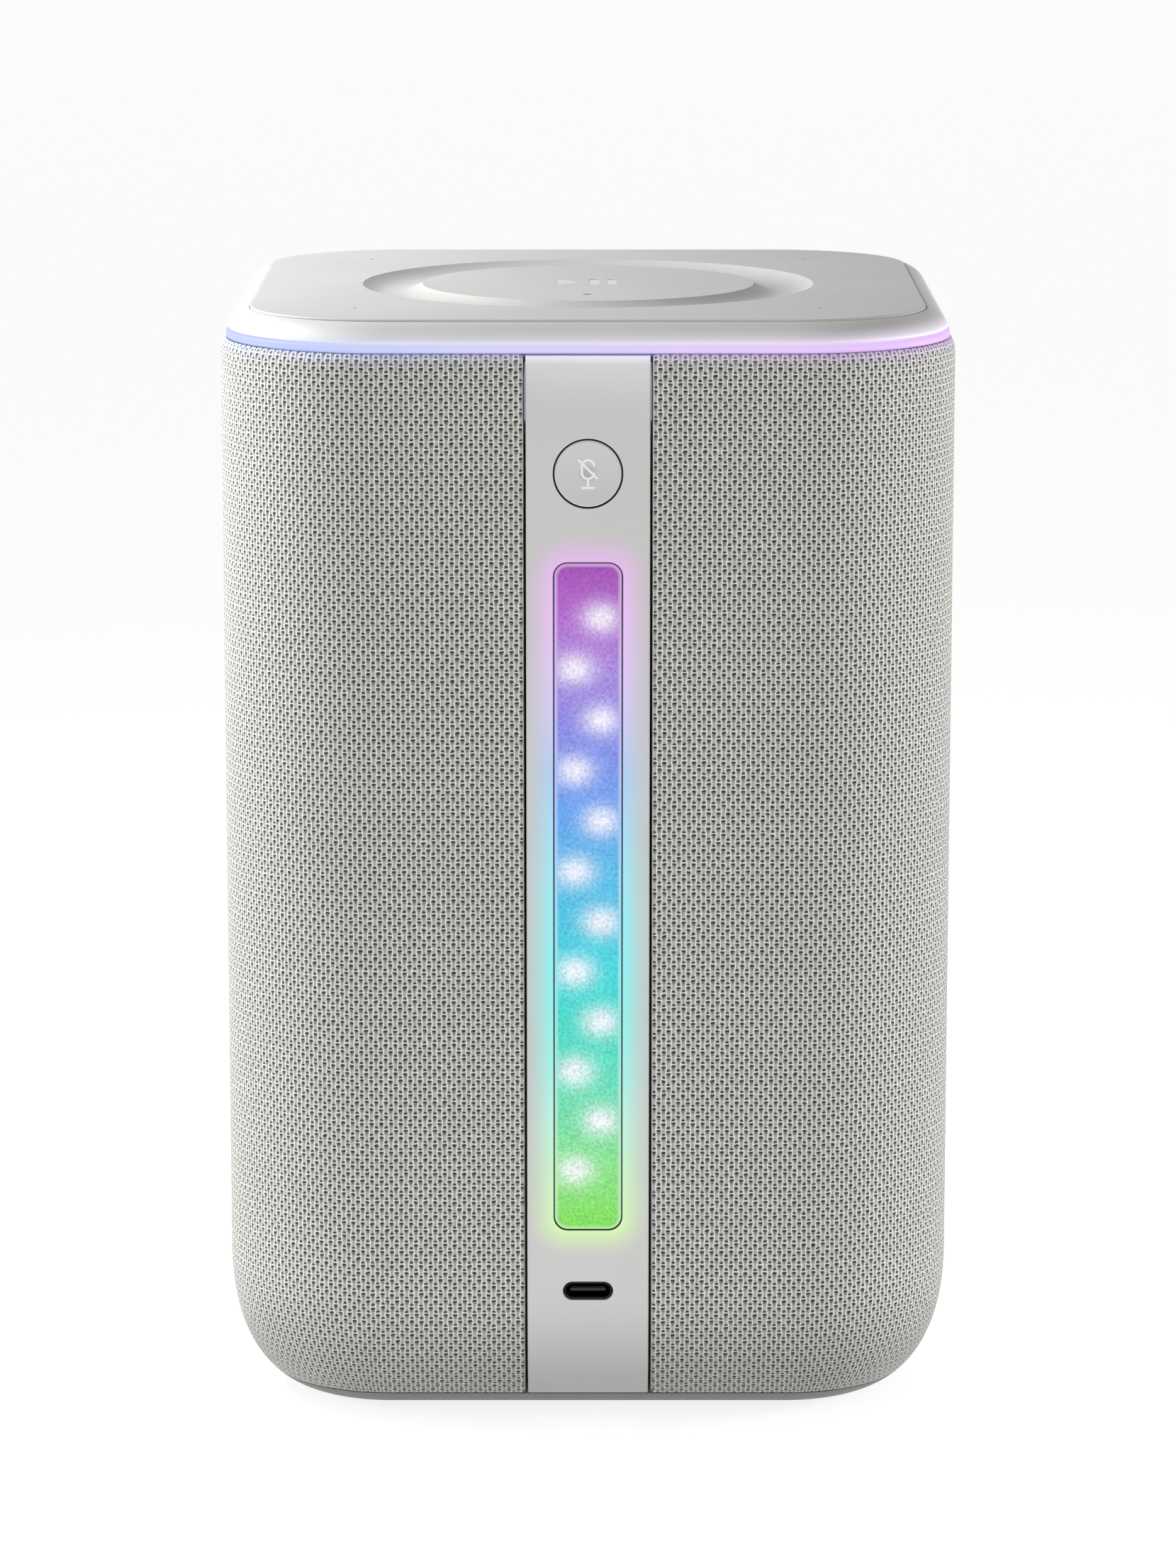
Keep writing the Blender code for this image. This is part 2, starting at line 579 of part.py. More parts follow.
def make_power_inlet(shell_material, tongue_material):
    low = REAR_BOARD_FRONT + GAP
    bm = bmesh.new()
    inner = (USB_HALF[0] - USB_WALL, USB_HALF[1] - USB_WALL)
    loops = []
    for half, z in ((USB_HALF, low), (USB_HALF, USB_MOUTH), (inner, USB_MOUTH), (inner, low)):
        loops.append(rounded_loop(bm, *half, half[1] * PILL, z, steps=5))
    for first, second in zip(loops, loops[1:] + loops[:1]):
        bridge(bm, first, second)
    face_rear(finish("usb_shell", bm, shell_material), USB_HEIGHT)
    block = (*USB_BLOCK, USB_BLOCK_CORNER)
    tongue = (*USB_TONGUE, USB_TONGUE_CORNER)
    rings = [(*block, low), (*block, USB_BLOCK_FRONT), (*tongue, USB_BLOCK_FRONT), (*tongue, USB_TONGUE_FRONT)]
    face_rear(loft("usb_tongue", rings, tongue_material, steps=3), USB_HEIGHT)


def make_base(tray_material, foot_material, screw_material):
    edge = FOOT_HALF - FOOT_EDGE
    foot_rings = [(edge, edge, FOOT_CORNER - FOOT_EDGE, 0.0), (FOOT_HALF, FOOT_HALF, FOOT_CORNER, FOOT_EDGE),
                  (FOOT_HALF, FOOT_HALF, FOOT_CORNER, FOOT_THICK)]
    loft("foot_pad", foot_rings, foot_material)

    seat = (FOOT_HALF + GAP, FOOT_HALF + GAP, FOOT_CORNER + GAP)
    curve_low = base_curve(TRAY_LOW, 0.0)
    skin = [point for point in curve_low if point[1] < TRAY_TOP] + [base_curve(TRAY_TOP, 0.0)[0]]
    lip = base_curve(TRAY_TOP, TRAY_SKIN)[0]
    spigot = (SPIGOT_HALF, SPIGOT_HALF, BODY_CORNER - (BODY_HALF - SPIGOT_HALF))
    inside = tuple(size - SPIGOT_WALL for size in spigot)
    rings = [(*seat, TRAY_SEAT), (*seat, TRAY_LOW)]
    rings += [inset_ring(inset, z) for inset, z in skin + [lip]]
    rings += [(*spigot, lip[1]), (*spigot, SPIGOT_TOP), (*inside, SPIGOT_TOP), (*inside, TRAY_FLOOR)]
    tray = loft("base_tray", rings, tray_material)
    post_low = TRAY_FLOOR - JOIN_DEPTH
    boolean(tray, rods("tray_posts", SCREW_PLACES, POST_RADIUS, post_low, POST_TOP), "UNION")
    boolean(tray, rods("tray_holes", SCREW_PLACES, SCREW_RADIUS + GAP, 0.0, POST_TOP + CUT_MARGIN, 12))
    head_low = TRAY_SEAT - CUT_MARGIN
    head_top = SCREW_HEAD_TOP + GAP
    boolean(tray, rods("tray_head_holes", SCREW_PLACES, SCREW_HEAD + GAP, head_low, head_top, 16))

    tip, tip_length = SCREW_POINT
    profile = [(0, SCREW_HEAD_LOW), (SCREW_HEAD * SCREW_HEAD_FLAT, SCREW_HEAD_LOW),
               (SCREW_HEAD, SCREW_HEAD_LOW + SCREW_HEAD_EDGE), (SCREW_HEAD, SCREW_HEAD_TOP),
               (SCREW_RADIUS, SCREW_HEAD_TOP), (SCREW_RADIUS, SCREW_TOP - tip_length),
               (SCREW_RADIUS * tip, SCREW_TOP), (0, SCREW_TOP)]
    for index, (x, y) in enumerate(SCREW_PLACES):
        screw = turn("base_screw_%d" % (index + 1), profile, screw_material, 12)
        screw.location = (x, y, 0)


def make_top(frame_material, plate_material, ring_material, board, mic_material, lens_material):
    ring = [(RING_INSET + RING_EDGE, RING_LOW), (RING_REACH, RING_LOW), (RING_REACH, RING_TOP),
            (RING_INSET + RING_EDGE, RING_TOP), (RING_INSET, RING_TOP - RING_EDGE),
            (RING_INSET, RING_LOW + RING_EDGE)]
    ring_sweep("light_ring", ring, ring_material)

    outer, inner = RING_BOARD_INSETS
    high = RING_BOARD_LOW + RING_BOARD_THICK
    ring_sweep("ring_light_board", [(outer, RING_BOARD_LOW), (inner, RING_BOARD_LOW), (inner, high),
                                    (outer, high)], board)

    shoulder = corner_curve(FRAME_TOP_INSET - FRAME_INSET, FRAME_TOP - FRAME_LOW - FRAME_WALL, FRAME_POWER,
                            0.0, math.pi / 2, FRAME_STEPS)
    section = [(FRAME_INSET, FRAME_LOW)]
    section += [(FRAME_INSET + inset, FRAME_TOP - depth) for inset, depth in shoulder]
    section += [(SEAT_INSET, FRAME_TOP - FRAME_EDGE), (SEAT_INSET, SEAT_HEIGHT), (SEAT_REACH, SEAT_HEIGHT)]
    section += [(SEAT_REACH, FRAME_LOW), (SKIRT_INSETS[1], FRAME_LOW), (SKIRT_INSETS[1], SKIRT_LOW)]
    section += [(SKIRT_INSETS[0], SKIRT_LOW), (SKIRT_INSETS[0], FRAME_LOW)]
    ring_sweep("top_frame", section, frame_material)

    plate_rings = [inset_ring(PLATE_INSET, PLATE_LOW), inset_ring(PLATE_INSET, HEIGHT - PLATE_EDGE),
                   inset_ring(PLATE_INSET + PLATE_EDGE, HEIGHT)]
    plate = loft("top_plate", plate_rings, plate_material)
    boss = rods("plate_boss", [(0, 0)], PLATE_BOSS_RADIUS, PLATE_BOSS_LOW, PLATE_LOW + JOIN_DEPTH, 40)
    boolean(plate, boss, "UNION")
    inner_radius, outer_radius = GROOVE_RADII
    groove = []
    for step in range(GROOVE_STEPS + 1):
        across = step / GROOVE_STEPS
        depth = GROOVE_DEPTH * (1 - abs(2 * across - 1) ** GROOVE_POWER)
        groove.append((inner_radius + across * (outer_radius - inner_radius), HEIGHT - depth))
    groove += [(outer_radius, HEIGHT + CUT_MARGIN), (inner_radius, HEIGHT + CUT_MARGIN)]
    boolean(plate, turn("plate_groove", groove, steps=48))
    below, above = PLATE_BOSS_LOW - CUT_MARGIN, HEIGHT + CUT_MARGIN
    boolean(plate, rods("plate_mic_holes", MIC_PLACES, MIC_HOLE, below, above, 8))
    flange_radius, flange_thick = STATUS_FLANGE
    boolean(plate, rods("plate_status_hole", [(0, STATUS_Y)], STATUS_HOLE, below, above, 12))
    pocket_top = PLATE_BOSS_LOW + flange_thick + GAP
    boolean(plate, rods("plate_lens_pocket", [(0, STATUS_Y)], flange_radius + GAP, below, pocket_top, 12))

    board_top = TOUCH_BOARD_LOW + TOUCH_BOARD_THICK
    half = TOUCH_BOARD_HALF
    loft("touch_board", [(half, half, TOUCH_BOARD_CORNER, TOUCH_BOARD_LOW),
                         (half, half, TOUCH_BOARD_CORNER, board_top)], board, steps=4)
    low = board_top + GAP
    lens_profile = [(0, low), (flange_radius, low), (flange_radius, low + flange_thick),
                    (STATUS_LENS, low + flange_thick), (STATUS_LENS, STATUS_TOP), (0, STATUS_TOP)]
    lens = turn("status_lens", lens_profile, lens_material, 12)
    lens.location = (0, STATUS_Y, 0)
    for index, (x, y) in enumerate(MIC_PLACES):
        bm = bmesh.new()
        add_box(bm, MIC_SIZE, (x, y, low + MIC_SIZE[2] / 2))
        finish("microphone_%d" % (index + 1), bm, mic_material)


def make_cabinet(cabinet_material, unit_holes):
    half_x, half_y = CABINET_HALF
    chamfer = CABINET_CHAMFER
    wall = CABINET_WALL
    floor = CABINET_LOW + wall
    rings = [(half_x - chamfer, half_y - chamfer, CABINET_CORNER - chamfer, CABINET_LOW),
             (half_x, half_y, CABINET_CORNER, CABINET_LOW + chamfer),
             (half_x, half_y, CABINET_CORNER, CABINET_TOP),
             (half_x - wall, half_y - wall, CABINET_CORNER - wall, CABINET_TOP),
             (half_x - wall, half_y - wall, CABINET_CORNER - wall, floor)]
    tub = loft("cabinet_tub", rings, cabinet_material, steps=5, centre=(0, CABINET_Y))
    boolean(tub, rods("tub_bosses", SCREW_PLACES, POST_RADIUS, floor - JOIN_DEPTH, BOSS_TOP), "UNION")
    below = CABINET_LOW - CUT_MARGIN
    boolean(tub, rods("tub_boss_holes", SCREW_PLACES, SCREW_RADIUS + GAP, below, BOSS_HOLE_TOP, 12))
    for name, radius, height, turn_to in unit_holes:
        hole = rods("tub_hole_" + name, [(0, 0)], radius, *CABINET_CUT, ROUND_STEPS)
        hole.rotation_euler = turn_to
        hole.location = (0, CABINET_Y if turn_to[1] else 0, height)
        boolean(tub, hole)


def make_lid(cabinet_material):
    half_x, half_y = CABINET_HALF
    inner = CABINET_WALL + GAP
    low = CABINET_TOP + GAP
    rings = [(half_x - inner, half_y - inner, CABINET_CORNER - inner, LID_SPIGOT_LOW),
             (half_x - inner, half_y - inner, CABINET_CORNER - inner, low),
             (half_x, half_y, CABINET_CORNER, low),
             (half_x, half_y, CABINET_CORNER, low + LID_THICK)]
    lid = loft("cabinet_lid", rings, cabinet_material, steps=5, centre=(0, CABINET_Y))
    post_low = low + LID_THICK - JOIN_DEPTH
    posts = rods("lid_standoffs", STANDOFF_PLACES, STANDOFF_RADIUS, post_low, BOARD_LOW - GAP, 10)
    boolean(lid, posts, "UNION")


def make_electronics(board, can_material, sink_material, flex_material):
    top = BOARD_LOW + BOARD_THICK
    loft("main_board", [(*BOARD_HALF, BOARD_CORNER, BOARD_LOW), (*BOARD_HALF, BOARD_CORNER, top)], board,
         steps=2, centre=(0, CABINET_Y))
    can_low = top + GAP
    can_top = can_low + CAN_THICK
    can_inner = CAN_HALF - CAN_EDGE
    can_size = (CAN_HALF, CAN_HALF, CAN_CORNER)
    can_rings = [(*can_size, can_low), (*can_size, can_top - CAN_EDGE),
                 (can_inner, can_inner, CAN_CORNER - CAN_EDGE, can_top)]
    loft("shield_can", can_rings, can_material, steps=2)

    low = can_top + GAP
    pitch = (2 * SINK_HALF[0] - SINK_FIN_THICK) / (SINK_FINS - 1)
    comb = [(SINK_HALF[0], low), (-SINK_HALF[0], low)]
    for fin in range(SINK_FINS):
        left = -SINK_HALF[0] + fin * pitch
        right = left + SINK_FIN_THICK
        comb += [(left, low + SINK_BASE)] if fin else []
        comb += [(left, SINK_TOP), (right, SINK_TOP)]
        comb += [(right, low + SINK_BASE)] if fin < SINK_FINS - 1 else []
    sink = extrude_outline("heat_sink", comb[::-1], SINK_HALF[1], sink_material)
    sink.rotation_euler = (0, 0, math.radians(90))

    along_board = -(REAR_BOARD_FRONT - REAR_BOARD_THICK) + GAP + FLEX_THICK / 2
    over_board = top + GAP + FLEX_THICK / 2
    rear_route = [(along_board, FLEX_TOP), (along_board, over_board), (FLEX_END, over_board)]
    bent_strip("rear_flex_cable", rear_route, flex_material)
    under_touch = TOUCH_BOARD_LOW - GAP - FLEX_THICK / 2
    inner, outer = TOP_FLEX_SPAN
    top_route = [(inner, under_touch), (outer, under_touch), (outer, over_board), (inner, over_board)]
    bent_strip("top_flex_cable", top_route, flex_material)


def bent_strip(name, corners, material):
    """A flat cable across X that follows (y, z) corners, each rounded with the same bend."""
    line = [Vector(corners[0])]
    for before, corner, after in zip(corners, corners[1:], corners[2:]):
        corner = Vector(corner)
        back = (Vector(before) - corner).normalized()
        ahead = (Vector(after) - corner).normalized()
        centre = corner + (back + ahead) * FLEX_BEND
        for step in range(FLEX_STEPS + 1):
            angle = math.radians(90) * step / FLEX_STEPS
            line.append(centre - FLEX_BEND * (ahead * math.cos(angle) + back * math.sin(angle)))
    line.append(Vector(corners[-1]))
    sides = ([], [])
    for index, point in enumerate(line):
        along = line[min(index + 1, len(line) - 1)] - line[max(index - 1, 0)]
        across = along.orthogonal().normalized() * FLEX_THICK / 2
        sides[0].append(point + across)
        sides[1].append(point - across)
    outline = [tuple(point) for point in sides[0] + sides[1][::-1]]
    extrude_outline(name, outline, FLEX_HALF_WIDTH, material)


def half_roll(inner, outer, base, height, steps=4):
    """The middle line of a half-round roll between two radii."""
    centre = (inner + outer) / 2
    reach = (outer - inner) / 2
    line = []
    for step in range(steps + 1):
        angle = math.pi * step / steps
        line.append((centre - reach * math.cos(angle), base + height * math.sin(angle)))
    return line


def thick_line(line, thickness):
    """A closed profile, thickness tall, over an open line of (radius, height) points."""
    return [(radius, height + thickness) for radius, height in line] + list(line[::-1])


def make_woofer(metal, paper, rubber, cloth, coil_material, magnet_material):
    frame = face_front(turn("woofer_basket", BASKET, metal), WOOFER_HEIGHT)
    bm = bmesh.new()
    for index in range(BASKET_WINDOWS):
        turned = Matrix.Rotation(math.tau * (index + 0.5) / BASKET_WINDOWS, 4, "Z")
        place = turned @ Matrix.Translation(BASKET_WINDOW_PLACE) @ Matrix.Diagonal((*BASKET_WINDOW, 1.0))
        bmesh.ops.create_cube(bm, size=1.0, matrix=place)
    boolean(frame, face_front(finish("basket_windows", bm), WOOFER_HEIGHT))

    face_front(turn("woofer_cone", thick_line(CONE, CONE_THICK), paper), WOOFER_HEIGHT)
    face_front(turn("woofer_voice_coil", COIL, coil_material, 20), WOOFER_HEIGHT)
    inner, outer = SURROUND_EDGES
    roll = [inner, *half_roll(*SURROUND_ROLL, UNIT_FACE + GAP, SURROUND_RISE), outer]
    face_front(turn("woofer_surround", thick_line(roll, SURROUND_THICK), rubber), WOOFER_HEIGHT)
    radius, height = SPIDER_START
    step, rise = SPIDER_WAVE
    spider = [SPIDER_START]
    for index in range(1, SPIDER_WAVES + 1):
        spider.append((radius + index * step, height + (rise if index % 2 else -rise)))
    face_front(turn("woofer_spider", thick_line(spider, SPIDER_THICK), cloth, 20), WOOFER_HEIGHT)
    face_front(turn("woofer_magnet", MAGNET, magnet_material), WOOFER_HEIGHT)


def make_tweeter(plate_material, dome_material, magnet_material):
    face_front(turn("tweeter_plate", TWEETER_PLATE, plate_material), TWEETER_HEIGHT)
    face_front(turn("tweeter_dome", DOME, dome_material, 20), TWEETER_HEIGHT)
    face_front(turn("tweeter_motor", TWEETER_MOTOR, magnet_material, 20), TWEETER_HEIGHT)


def make_radiator(side, sign, plate_material, rubber):
    """A passive radiator in one side wall: a weighted plate in a rubber roll."""
    disc = turn("radiator_plate_" + side, RADIATOR_PLATE, plate_material)
    inner, outer = RADIATOR_EDGES
    roll = [inner, *half_roll(*RADIATOR_ROLL, RADIATOR_SEAT, RADIATOR_RISE), outer]
    edge = turn("radiator_surround_" + side, thick_line(roll, RADIATOR_THICK), rubber)
    for obj in (disc, edge):
        obj.rotation_euler = (0, sign * math.radians(90), 0)
        obj.location = (0, CABINET_Y, RADIATOR_HEIGHT)


def main():
    clear_scene()
    knit = make_material("knitted_polyester", (0.33, 0.34, 0.32), 0.95)
    shell = make_material("moulded_grille_plastic", (0.20, 0.20, 0.20), 0.70)
    satin = make_material("satin_polycarbonate", (0.57, 0.57, 0.55), 0.45)
    plate = make_material("soft_touch_polycarbonate", (0.60, 0.60, 0.59), 0.40)
    tray = make_material("base_plastic", (0.23, 0.23, 0.22), 0.60)
    rubber = make_material("silicone_rubber", (0.05, 0.05, 0.05), 0.85)
    diffuser = make_material("milky_diffuser", (0.80, 0.82, 0.84), 0.35)
    white = make_material("white_reflector_plastic", (0.88, 0.88, 0.86), 0.50)
    board = make_material("circuit_board", (0.02, 0.10, 0.05), 0.45)
    led = make_material("led_package", (0.85, 0.84, 0.70), 0.40)
    black = make_material("black_moulding", (0.02, 0.02, 0.02), 0.50)
    steel = make_material("plated_steel", (0.60, 0.60, 0.62), 0.35, 1.0)
    dark_steel = make_material("blackened_steel", (0.06, 0.06, 0.065), 0.40, 1.0)
    aluminium = make_material("extruded_aluminium", (0.75, 0.76, 0.77), 0.35, 1.0)
    cabinet = make_material("cabinet_abs", (0.04, 0.04, 0.04), 0.65)
    paper = make_material("coated_paper_cone", (0.05, 0.05, 0.055), 0.80)
    cloth = make_material("treated_cloth_spider", (0.45, 0.30, 0.12), 0.95)
    copper = make_material("copper_winding", (0.72, 0.38, 0.22), 0.35, 1.0)
    flex = make_material("polyimide_flex", (0.55, 0.28, 0.05), 0.40)

    make_sleeve(knit)
    make_grille_shell(shell)
    make_spine(satin)
    make_light_bar(diffuser, white, board, led)
    make_mute(satin, black, white)
    make_power_inlet(dark_steel, black)
    make_base(tray, rubber, steel)
    make_top(satin, plate, diffuser, board, steel, diffuser)
    sideways = math.radians(90)
    holes = [("woofer", WOOFER_HOLE, WOOFER_HEIGHT, (-sideways, 0, 0)),
             ("tweeter", TWEETER_HOLE, TWEETER_HEIGHT, (-sideways, 0, 0)),
             ("left", RADIATOR_HOLE, RADIATOR_HEIGHT, (0, -sideways, 0)),
             ("right", RADIATOR_HOLE, RADIATOR_HEIGHT, (0, sideways, 0))]
    make_cabinet(cabinet, holes)
    make_lid(cabinet)
    make_electronics(board, steel, aluminium, flex)
    make_woofer(dark_steel, paper, rubber, cloth, copper, dark_steel)
    make_tweeter(black, cloth, dark_steel)
    make_radiator("left", -1, aluminium, rubber)
    make_radiator("right", 1, aluminium, rubber)


main()
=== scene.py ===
import math

import bmesh
import bpy
from mathutils import Matrix, Vector


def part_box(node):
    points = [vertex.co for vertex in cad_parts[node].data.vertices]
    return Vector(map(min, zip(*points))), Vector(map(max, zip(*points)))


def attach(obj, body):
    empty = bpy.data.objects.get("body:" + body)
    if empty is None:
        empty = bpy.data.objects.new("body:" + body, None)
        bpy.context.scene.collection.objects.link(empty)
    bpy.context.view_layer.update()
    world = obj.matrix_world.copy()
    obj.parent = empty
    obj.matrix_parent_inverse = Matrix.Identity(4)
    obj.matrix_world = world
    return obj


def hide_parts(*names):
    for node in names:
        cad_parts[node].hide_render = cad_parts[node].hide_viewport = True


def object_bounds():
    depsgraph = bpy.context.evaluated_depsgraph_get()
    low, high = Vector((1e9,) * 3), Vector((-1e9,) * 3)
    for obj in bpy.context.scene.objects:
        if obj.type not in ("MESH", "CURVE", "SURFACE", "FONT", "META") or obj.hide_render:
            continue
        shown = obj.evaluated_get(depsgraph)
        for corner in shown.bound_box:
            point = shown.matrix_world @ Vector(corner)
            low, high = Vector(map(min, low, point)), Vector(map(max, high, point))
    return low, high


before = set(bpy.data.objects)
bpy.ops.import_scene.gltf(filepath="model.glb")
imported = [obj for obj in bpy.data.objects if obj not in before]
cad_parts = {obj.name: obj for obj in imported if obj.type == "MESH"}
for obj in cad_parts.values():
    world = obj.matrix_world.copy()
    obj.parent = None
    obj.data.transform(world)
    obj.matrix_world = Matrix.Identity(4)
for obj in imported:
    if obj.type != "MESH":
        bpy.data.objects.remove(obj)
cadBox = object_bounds()
mm = 0.001

# ---- small helpers

def hexColour(code):
    channels = [int(code[i:i + 2], 16) / 255 for i in (1, 3, 5)]
    linear = [c / 12.92 if c <= 0.04045 else ((c + 0.055) / 1.055) ** 2.4 for c in channels]
    return (*linear, 1.0)


def feed(node, values):
    # a value can be a number, a socket, or a node whose first open output is meant
    for key, value in values.items():
        if isinstance(value, bpy.types.Node):
            value = next(socket for socket in value.outputs if socket.enabled)
        if isinstance(value, bpy.types.NodeSocket):
            node.id_data.links.new(value, node.inputs[key])
        else:
            node.inputs[key].default_value = value


def addNode(tree, kind, values=(), operation=None, **settings):
    # a kind's family can be left out; values go by socket name, or as a list to the open sockets in order
    family = next(f for f in ("", "ShaderNode", "GeometryNode") if hasattr(bpy.types, f + kind))
    node = tree.nodes.new(family + kind)
    if operation:
        node.operation = operation
    for name, value in settings.items():
        setattr(node, name, value)
    if not isinstance(values, dict):
        places = [place for place, socket in enumerate(node.inputs) if socket.enabled]
        values = dict(zip(places, values))
    feed(node, values)
    return node


def startMaterial(name, values):
    material = bpy.data.materials.new(name)
    material.use_nodes = True
    tree = material.node_tree
    shader = tree.nodes["Principled BSDF"]
    feed(shader, values)
    return material, tree, shader, addNode(tree, "TexCoord").outputs["Object"]


def setRamp(node, stops):
    ramp = node.color_ramp
    while len(ramp.elements) < len(stops):
        ramp.elements.new(1.0)
    for element, (place, colour) in zip(ramp.elements, stops):
        element.position = place
        element.color = hexColour(colour)


def addGrain(tree, shader, place, size, shades=None, detail=2.0, rough=None, bump=None):
    # noise of one size moves the colour between two shades, the roughness, or the surface
    grain = addNode(tree, "TexNoise", [place, 1 / size, detail])
    if rough:
        feed(shader, {"Roughness": addNode(tree, "MapRange", [grain, 0.0, 1.0, *rough])})
    if bump:
        strength, depth = bump
        lift = addNode(tree, "Bump", {"Strength": strength, "Distance": depth, "Height": grain})
        feed(shader, {"Normal": lift})
    if shades:
        tint = addNode(tree, "ValToRGB", [grain])
        setRamp(tint, list(zip((0.3, 0.7), shades)))
        feed(shader, {"Base Color": tint})
        return tint


def middle(node):
    low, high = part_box(node)
    return low.lerp(high, 0.5)


def smoothen(mesh, degrees):
    mesh.shade_smooth()
    mesh.set_sharp_from_angle(angle=math.radians(degrees))


def meshFrom(name, bm, material=None, smooth=35):
    bmesh.ops.recalc_face_normals(bm, faces=bm.faces)
    mesh = bpy.data.meshes.new(name)
    bm.to_mesh(mesh)
    bm.free()
    smoothen(mesh, smooth)
    piece = bpy.data.objects.new(name, mesh)
    bpy.context.scene.collection.objects.link(piece)
    if material:
        mesh.materials.append(material)
    return piece


def settle(piece, smooth=35, keepNormals=False):
    # what the modifiers and the object's place make becomes a plain mesh at the origin
    bpy.context.view_layer.update()
    graph = bpy.context.evaluated_depsgraph_get()
    mesh = bpy.data.meshes.new_from_object(piece.evaluated_get(graph))
    mesh.transform(piece.matrix_world)
    mesh.name = piece.name
    piece.modifiers.clear()
    piece.data = mesh
    piece.matrix_world = Matrix.Identity(4)
    if not keepNormals:
        smoothen(mesh, smooth)


def cut(piece, tools):
    for tool in tools:
        modifier = piece.modifiers.new("cut", "BOOLEAN")
        modifier.object = tool
        modifier.solver = "EXACT"
    settle(piece)
    for tool in tools:
        bpy.data.objects.remove(tool)
    # large flat faces keep their own direction, so no shadow creeps in from a rounded edge
    piece.modifiers.new("weigh", "WEIGHTED_NORMAL").keep_sharp = True
    settle(piece, keepNormals=True)


def stand(piece, body, slot, *nodes):
    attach(piece, body)
    if nodes:
        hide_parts(*nodes)


def quarter(size, steps, inwards=True):
    # (inset, drop) round a quarter circle, from the wall in to the face
    angles = [math.radians(90 * step / steps) for step in range(steps + 1)]
    points = [(size * (1 - math.cos(angle)), size * (1 - math.sin(angle))) for angle in angles]
    return points if inwards else points[::-1]


def ringAt(size, inset, z):
    halfX, halfY, corner = size
    return (halfX - inset, halfY - inset, corner - inset, z)


def roundedLoop(bm, halfX, halfY, corner, z, steps, runs=0):
    # a rounded rectangle of vertices; runs is how many of them lie along each straight side
    verts = []
    for side in range(4):
        sideX = 1 if side in (0, 3) else -1
        sideY = 1 if side in (0, 1) else -1
        centre = Vector((sideX * (halfX - corner), sideY * (halfY - corner), z))
        for step in range(steps + 1):
            angle = math.radians(90 * side + 90 * step / steps)
            verts.append(bm.verts.new(centre + Vector((math.cos(angle), math.sin(angle), 0)) * corner))
        last = verts[-1].co
        length = 2 * ((halfX if side in (0, 2) else halfY) - corner)
        along = Vector((-math.sin(angle), math.cos(angle), 0))
        verts += [bm.verts.new(last + along * length * k / (runs + 1)) for k in range(1, runs + 1)]
    return verts


def bridge(bm, loops):
    for first, second in zip(loops, loops[1:]):
        for i in range(len(first)):
            k = (i + 1) % len(first)
            bm.faces.new((first[i], first[k], second[k], second[i]))


def loft(name, rings, material=None, steps=12, ends=True):
    bm = bmesh.new()
    loops = [roundedLoop(bm, *ring, steps) for ring in rings]
    bridge(bm, loops if ends else loops + loops[:1])
    if ends:
        bm.faces.new(loops[0])
        bm.faces.new(loops[-1])
    return meshFrom(name, bm, material)


def turn(name, profile, material=None, steps=96):
    bm = bmesh.new()
    verts = [bm.verts.new((radius, 0, height)) for radius, height in profile]
    edges = [bm.edges.new(pair) for pair in zip(verts, verts[1:])]
    bmesh.ops.spin(bm, geom=verts + edges, axis=(0, 0, 1), cent=(0, 0, 0), angle=math.tau, steps=steps,
                   use_merge=True)
    bmesh.ops.remove_doubles(bm, verts=bm.verts, dist=0.002 * mm)
    return meshFrom(name, bm, material)


def faceRear(piece, height):
    # local +Z then points out of the spine side
    piece.rotation_euler = (math.radians(90), 0, 0)
    piece.location = (0, 0, height)
    return piece


def standRear(piece, height, body, slot, *nodes):
    faceRear(piece, height)
    settle(piece)
    stand(piece, body, slot, *nodes)


def startTree(name, *inputs):
    tree = bpy.data.node_groups.new(name, "GeometryNodeTree")
    for label, kind in (*inputs, ("Material", "Material")):
        tree.interface.new_socket(label, in_out="INPUT", socket_type="NodeSocket" + kind)
    tree.interface.new_socket("Geometry", in_out="OUTPUT", socket_type="NodeSocketGeometry")
    return tree, addNode(tree, "NodeGroupInput").outputs


def endTree(tree, geometry, material):
    geometry = addNode(tree, "RealizeInstances", [geometry])
    geometry = addNode(tree, "SetMaterial", {"Geometry": geometry, "Material": material})
    addNode(tree, "NodeGroupOutput", {"Geometry": geometry})


def runTree(name, tree, mesh=None, **values):
    # every input is set by its identifier before the object is first evaluated
    piece = bpy.data.objects.new(name, mesh or bpy.data.meshes.new(name))
    bpy.context.scene.collection.objects.link(piece)
    modifier = piece.modifiers.new(name, "NODES")
    modifier.node_group = tree
    for socket in tree.interface.items_tree:
        if socket.in_out == "INPUT" and socket.name in values:
            modifier[socket.identifier] = values[socket.name]
    settle(piece)
    return piece


# ---- the body's own outline, which every shell follows
body = {
    "half": cadBox[1].x,
    "height": cadBox[1].z,
    "corner": 31.0 * mm,        # plan corner radius over the sleeve
    "cornerSteps": 20,
    "baseInset": 18.5 * mm,     # the rounding under the body
    "baseRise": 27.4 * mm,
    "basePower": 2.29,
    "baseLow": 4.0 * mm,        # where the sleeve and the spine end
    "shadeHigh": 28.0 * mm,      # painted shade darkens the cloth and the plastic below this
    "gap": 0.3 * mm,
}


def cornerCurve(inset, rise, power, start, end, steps, offset=0.0):
    # (inset, height) along a superellipse; 0 is at the wall and a right angle is at the flat
    points = []
    for step in range(steps + 1):
        angle = start + (end - start) * step / steps
        across = math.cos(angle) ** (2 / power)
        along = math.sin(angle) ** (2 / power)
        normal = Vector((across ** (power - 1) / inset, along ** (power - 1) / rise)).normalized()
        points.append((inset * (1 - across) + offset * normal.x, rise * (1 - along) + offset * normal.y))
    return points


